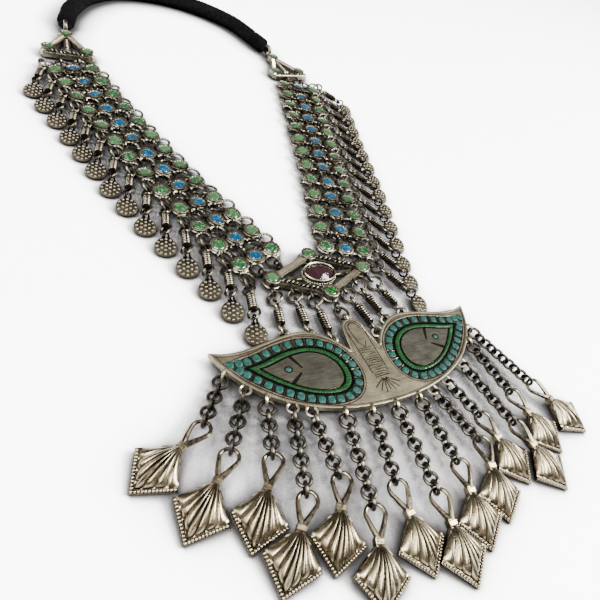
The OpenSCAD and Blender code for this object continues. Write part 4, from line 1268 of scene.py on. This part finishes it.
def kite_body():
    """Puffed and fluted front over the step and the flat back of the second shell"""
    u = [0.02, 0.08, 0.16, 0.24, 0.32, 0.4, 0.48, 0.56, 0.64, 0.72, 0.78, 0.83, 0.87, 0.9, 0.93,
         1.0]
    v = np.linspace(0, 1, 8 * FLUTES + 1)
    corners = np.array([[-KITE_W / 2, KITE_WIDE], [0, KITE_TIP], [KITE_W / 2, KITE_WIDE]])
    edge = np.column_stack([np.interp(v, [0, 0.5, 1], corners[:, k]) for k in (0, 1)])
    top = np.array([0, KITE_TOP])
    flute = np.abs(np.sin(math.pi * FLUTES * v)) ** 0.7
    lobe = 0.9 - 0.05 * (1 - flute)
    rows = []
    for a in u:
        body = np.sin(math.pi * np.clip(a / lobe, 0, 1)) ** 0.5
        crown = np.sin(math.pi * v).clip(0) ** 0.5 * (0.76 + 0.24 * flute * min(1, a / 0.25))
        rows.append(np.column_stack([top + (edge - top) * a, PUFF * body * crown + 0.02]))
    nu, nv = len(u), len(v)
    points = np.vstack(rows)
    faces = [[i * nv + j, (i + 1) * nv + j, (i + 1) * nv + j + 1, i * nv + j + 1]
             for i in range(nu - 1) for j in range(nv - 1)]
    rim = list(range(nv)) + [i * nv + nv - 1 for i in range(1, nu)] + \
        [(nu - 1) * nv + j for j in range(nv - 2, -1, -1)] + [i * nv for i in range(nu - 2, 0, -1)]
    flat, m, base = points[rim][:, :2], len(rim), len(points)
    away_from_middle = flat - [0, KITE_WIDE]
    away_from_middle /= np.linalg.norm(away_from_middle, axis=1)[:, None]
    before = rim
    for r, (inset, z) in enumerate(((0, -0.3), (0.3, -0.36), (0.3, -0.5), (0, -0.56),
                                    (0, -KITE_BACK))):
        points = np.vstack([points, lifted(flat - away_from_middle * inset, z)])
        now = [base + r * m + k for k in range(m)]
        faces += [[before[k], before[(k + 1) % m], now[(k + 1) % m], now[k]] for k in range(m)]
        before = now
    return points, faces + [before]


def drop_parts():
    """The bail round the origin, then the parts that lean down with the body"""
    body = [kite_body()]
    bead, bead_faces = grain(0.4, 8)
    for sign in (-1, 1):
        a, b = np.array([sign * (KITE_W / 2 - 0.75), KITE_WIDE + 0.1]), [0, KITE_TIP - 0.72]
        for t in np.linspace(0, 1, 13)[:13 if sign < 0 else 12]:
            body.append((bead + [*(a + (b - a) * t), 0.1], bead_faces))
    for y, half, length, high in COLLAR_BLOCKS:
        body.append(block((-half, y, -KITE_BACK), (half, y + length, high)))
    # The curled ends of a wire that runs out of the collar to both sides
    for x in (-1, 1):
        curl = [[0.45 * x, 7.2, 0.5], [1.6 * x, 7.7, 0.55], [2.7 * x, 8.6, 0.35],
                [3.0 * x, 8.9, 0.2]]
        body.append(tube(curl, [0.3, 0.32, 0.24, 0.12], 6))
    a = np.radians(np.linspace(63.7, 296.3, 26))
    loop = np.column_stack([BAIL_R * np.sin(a), BAIL_R * np.cos(a), 0 * a])
    leg = np.array(BAIL_LEG)
    thick = np.concatenate([[0.75, 0.75, 0.68], 0.54 + 0.08 * np.cos(a), [0.68, 0.75, 0.75]])
    return tube(np.vstack([leg, loop, leg[::-1] * [-1, 1, 1]]), thick, 9), body


def drop(number, d, lug):
    form = Form()
    at = lug + chain_length(d) * heading(d[1])
    form.add(bail_part, aim(at, DROP_Z, d[3], 0, 12))
    for part in body_parts:
        form.add(part, aim(at, DROP_Z, d[3], -DROP_LEAN))
    node = "drop_%d" % number
    form.piece(node + "_metal", "silver", [drop_silver], [node], 35)


# Pressed sheet, rubbed bright on its flutes and black between them
drop_silver = silver_material("drop_silver", "#7a6f59", "#3a352b", "#020202", rough=0.25)
bail_part, body_parts = drop_parts()
for number, (d, lug) in enumerate(zip(DROPS, LUGS), 1):
    drop(number, d, lug)
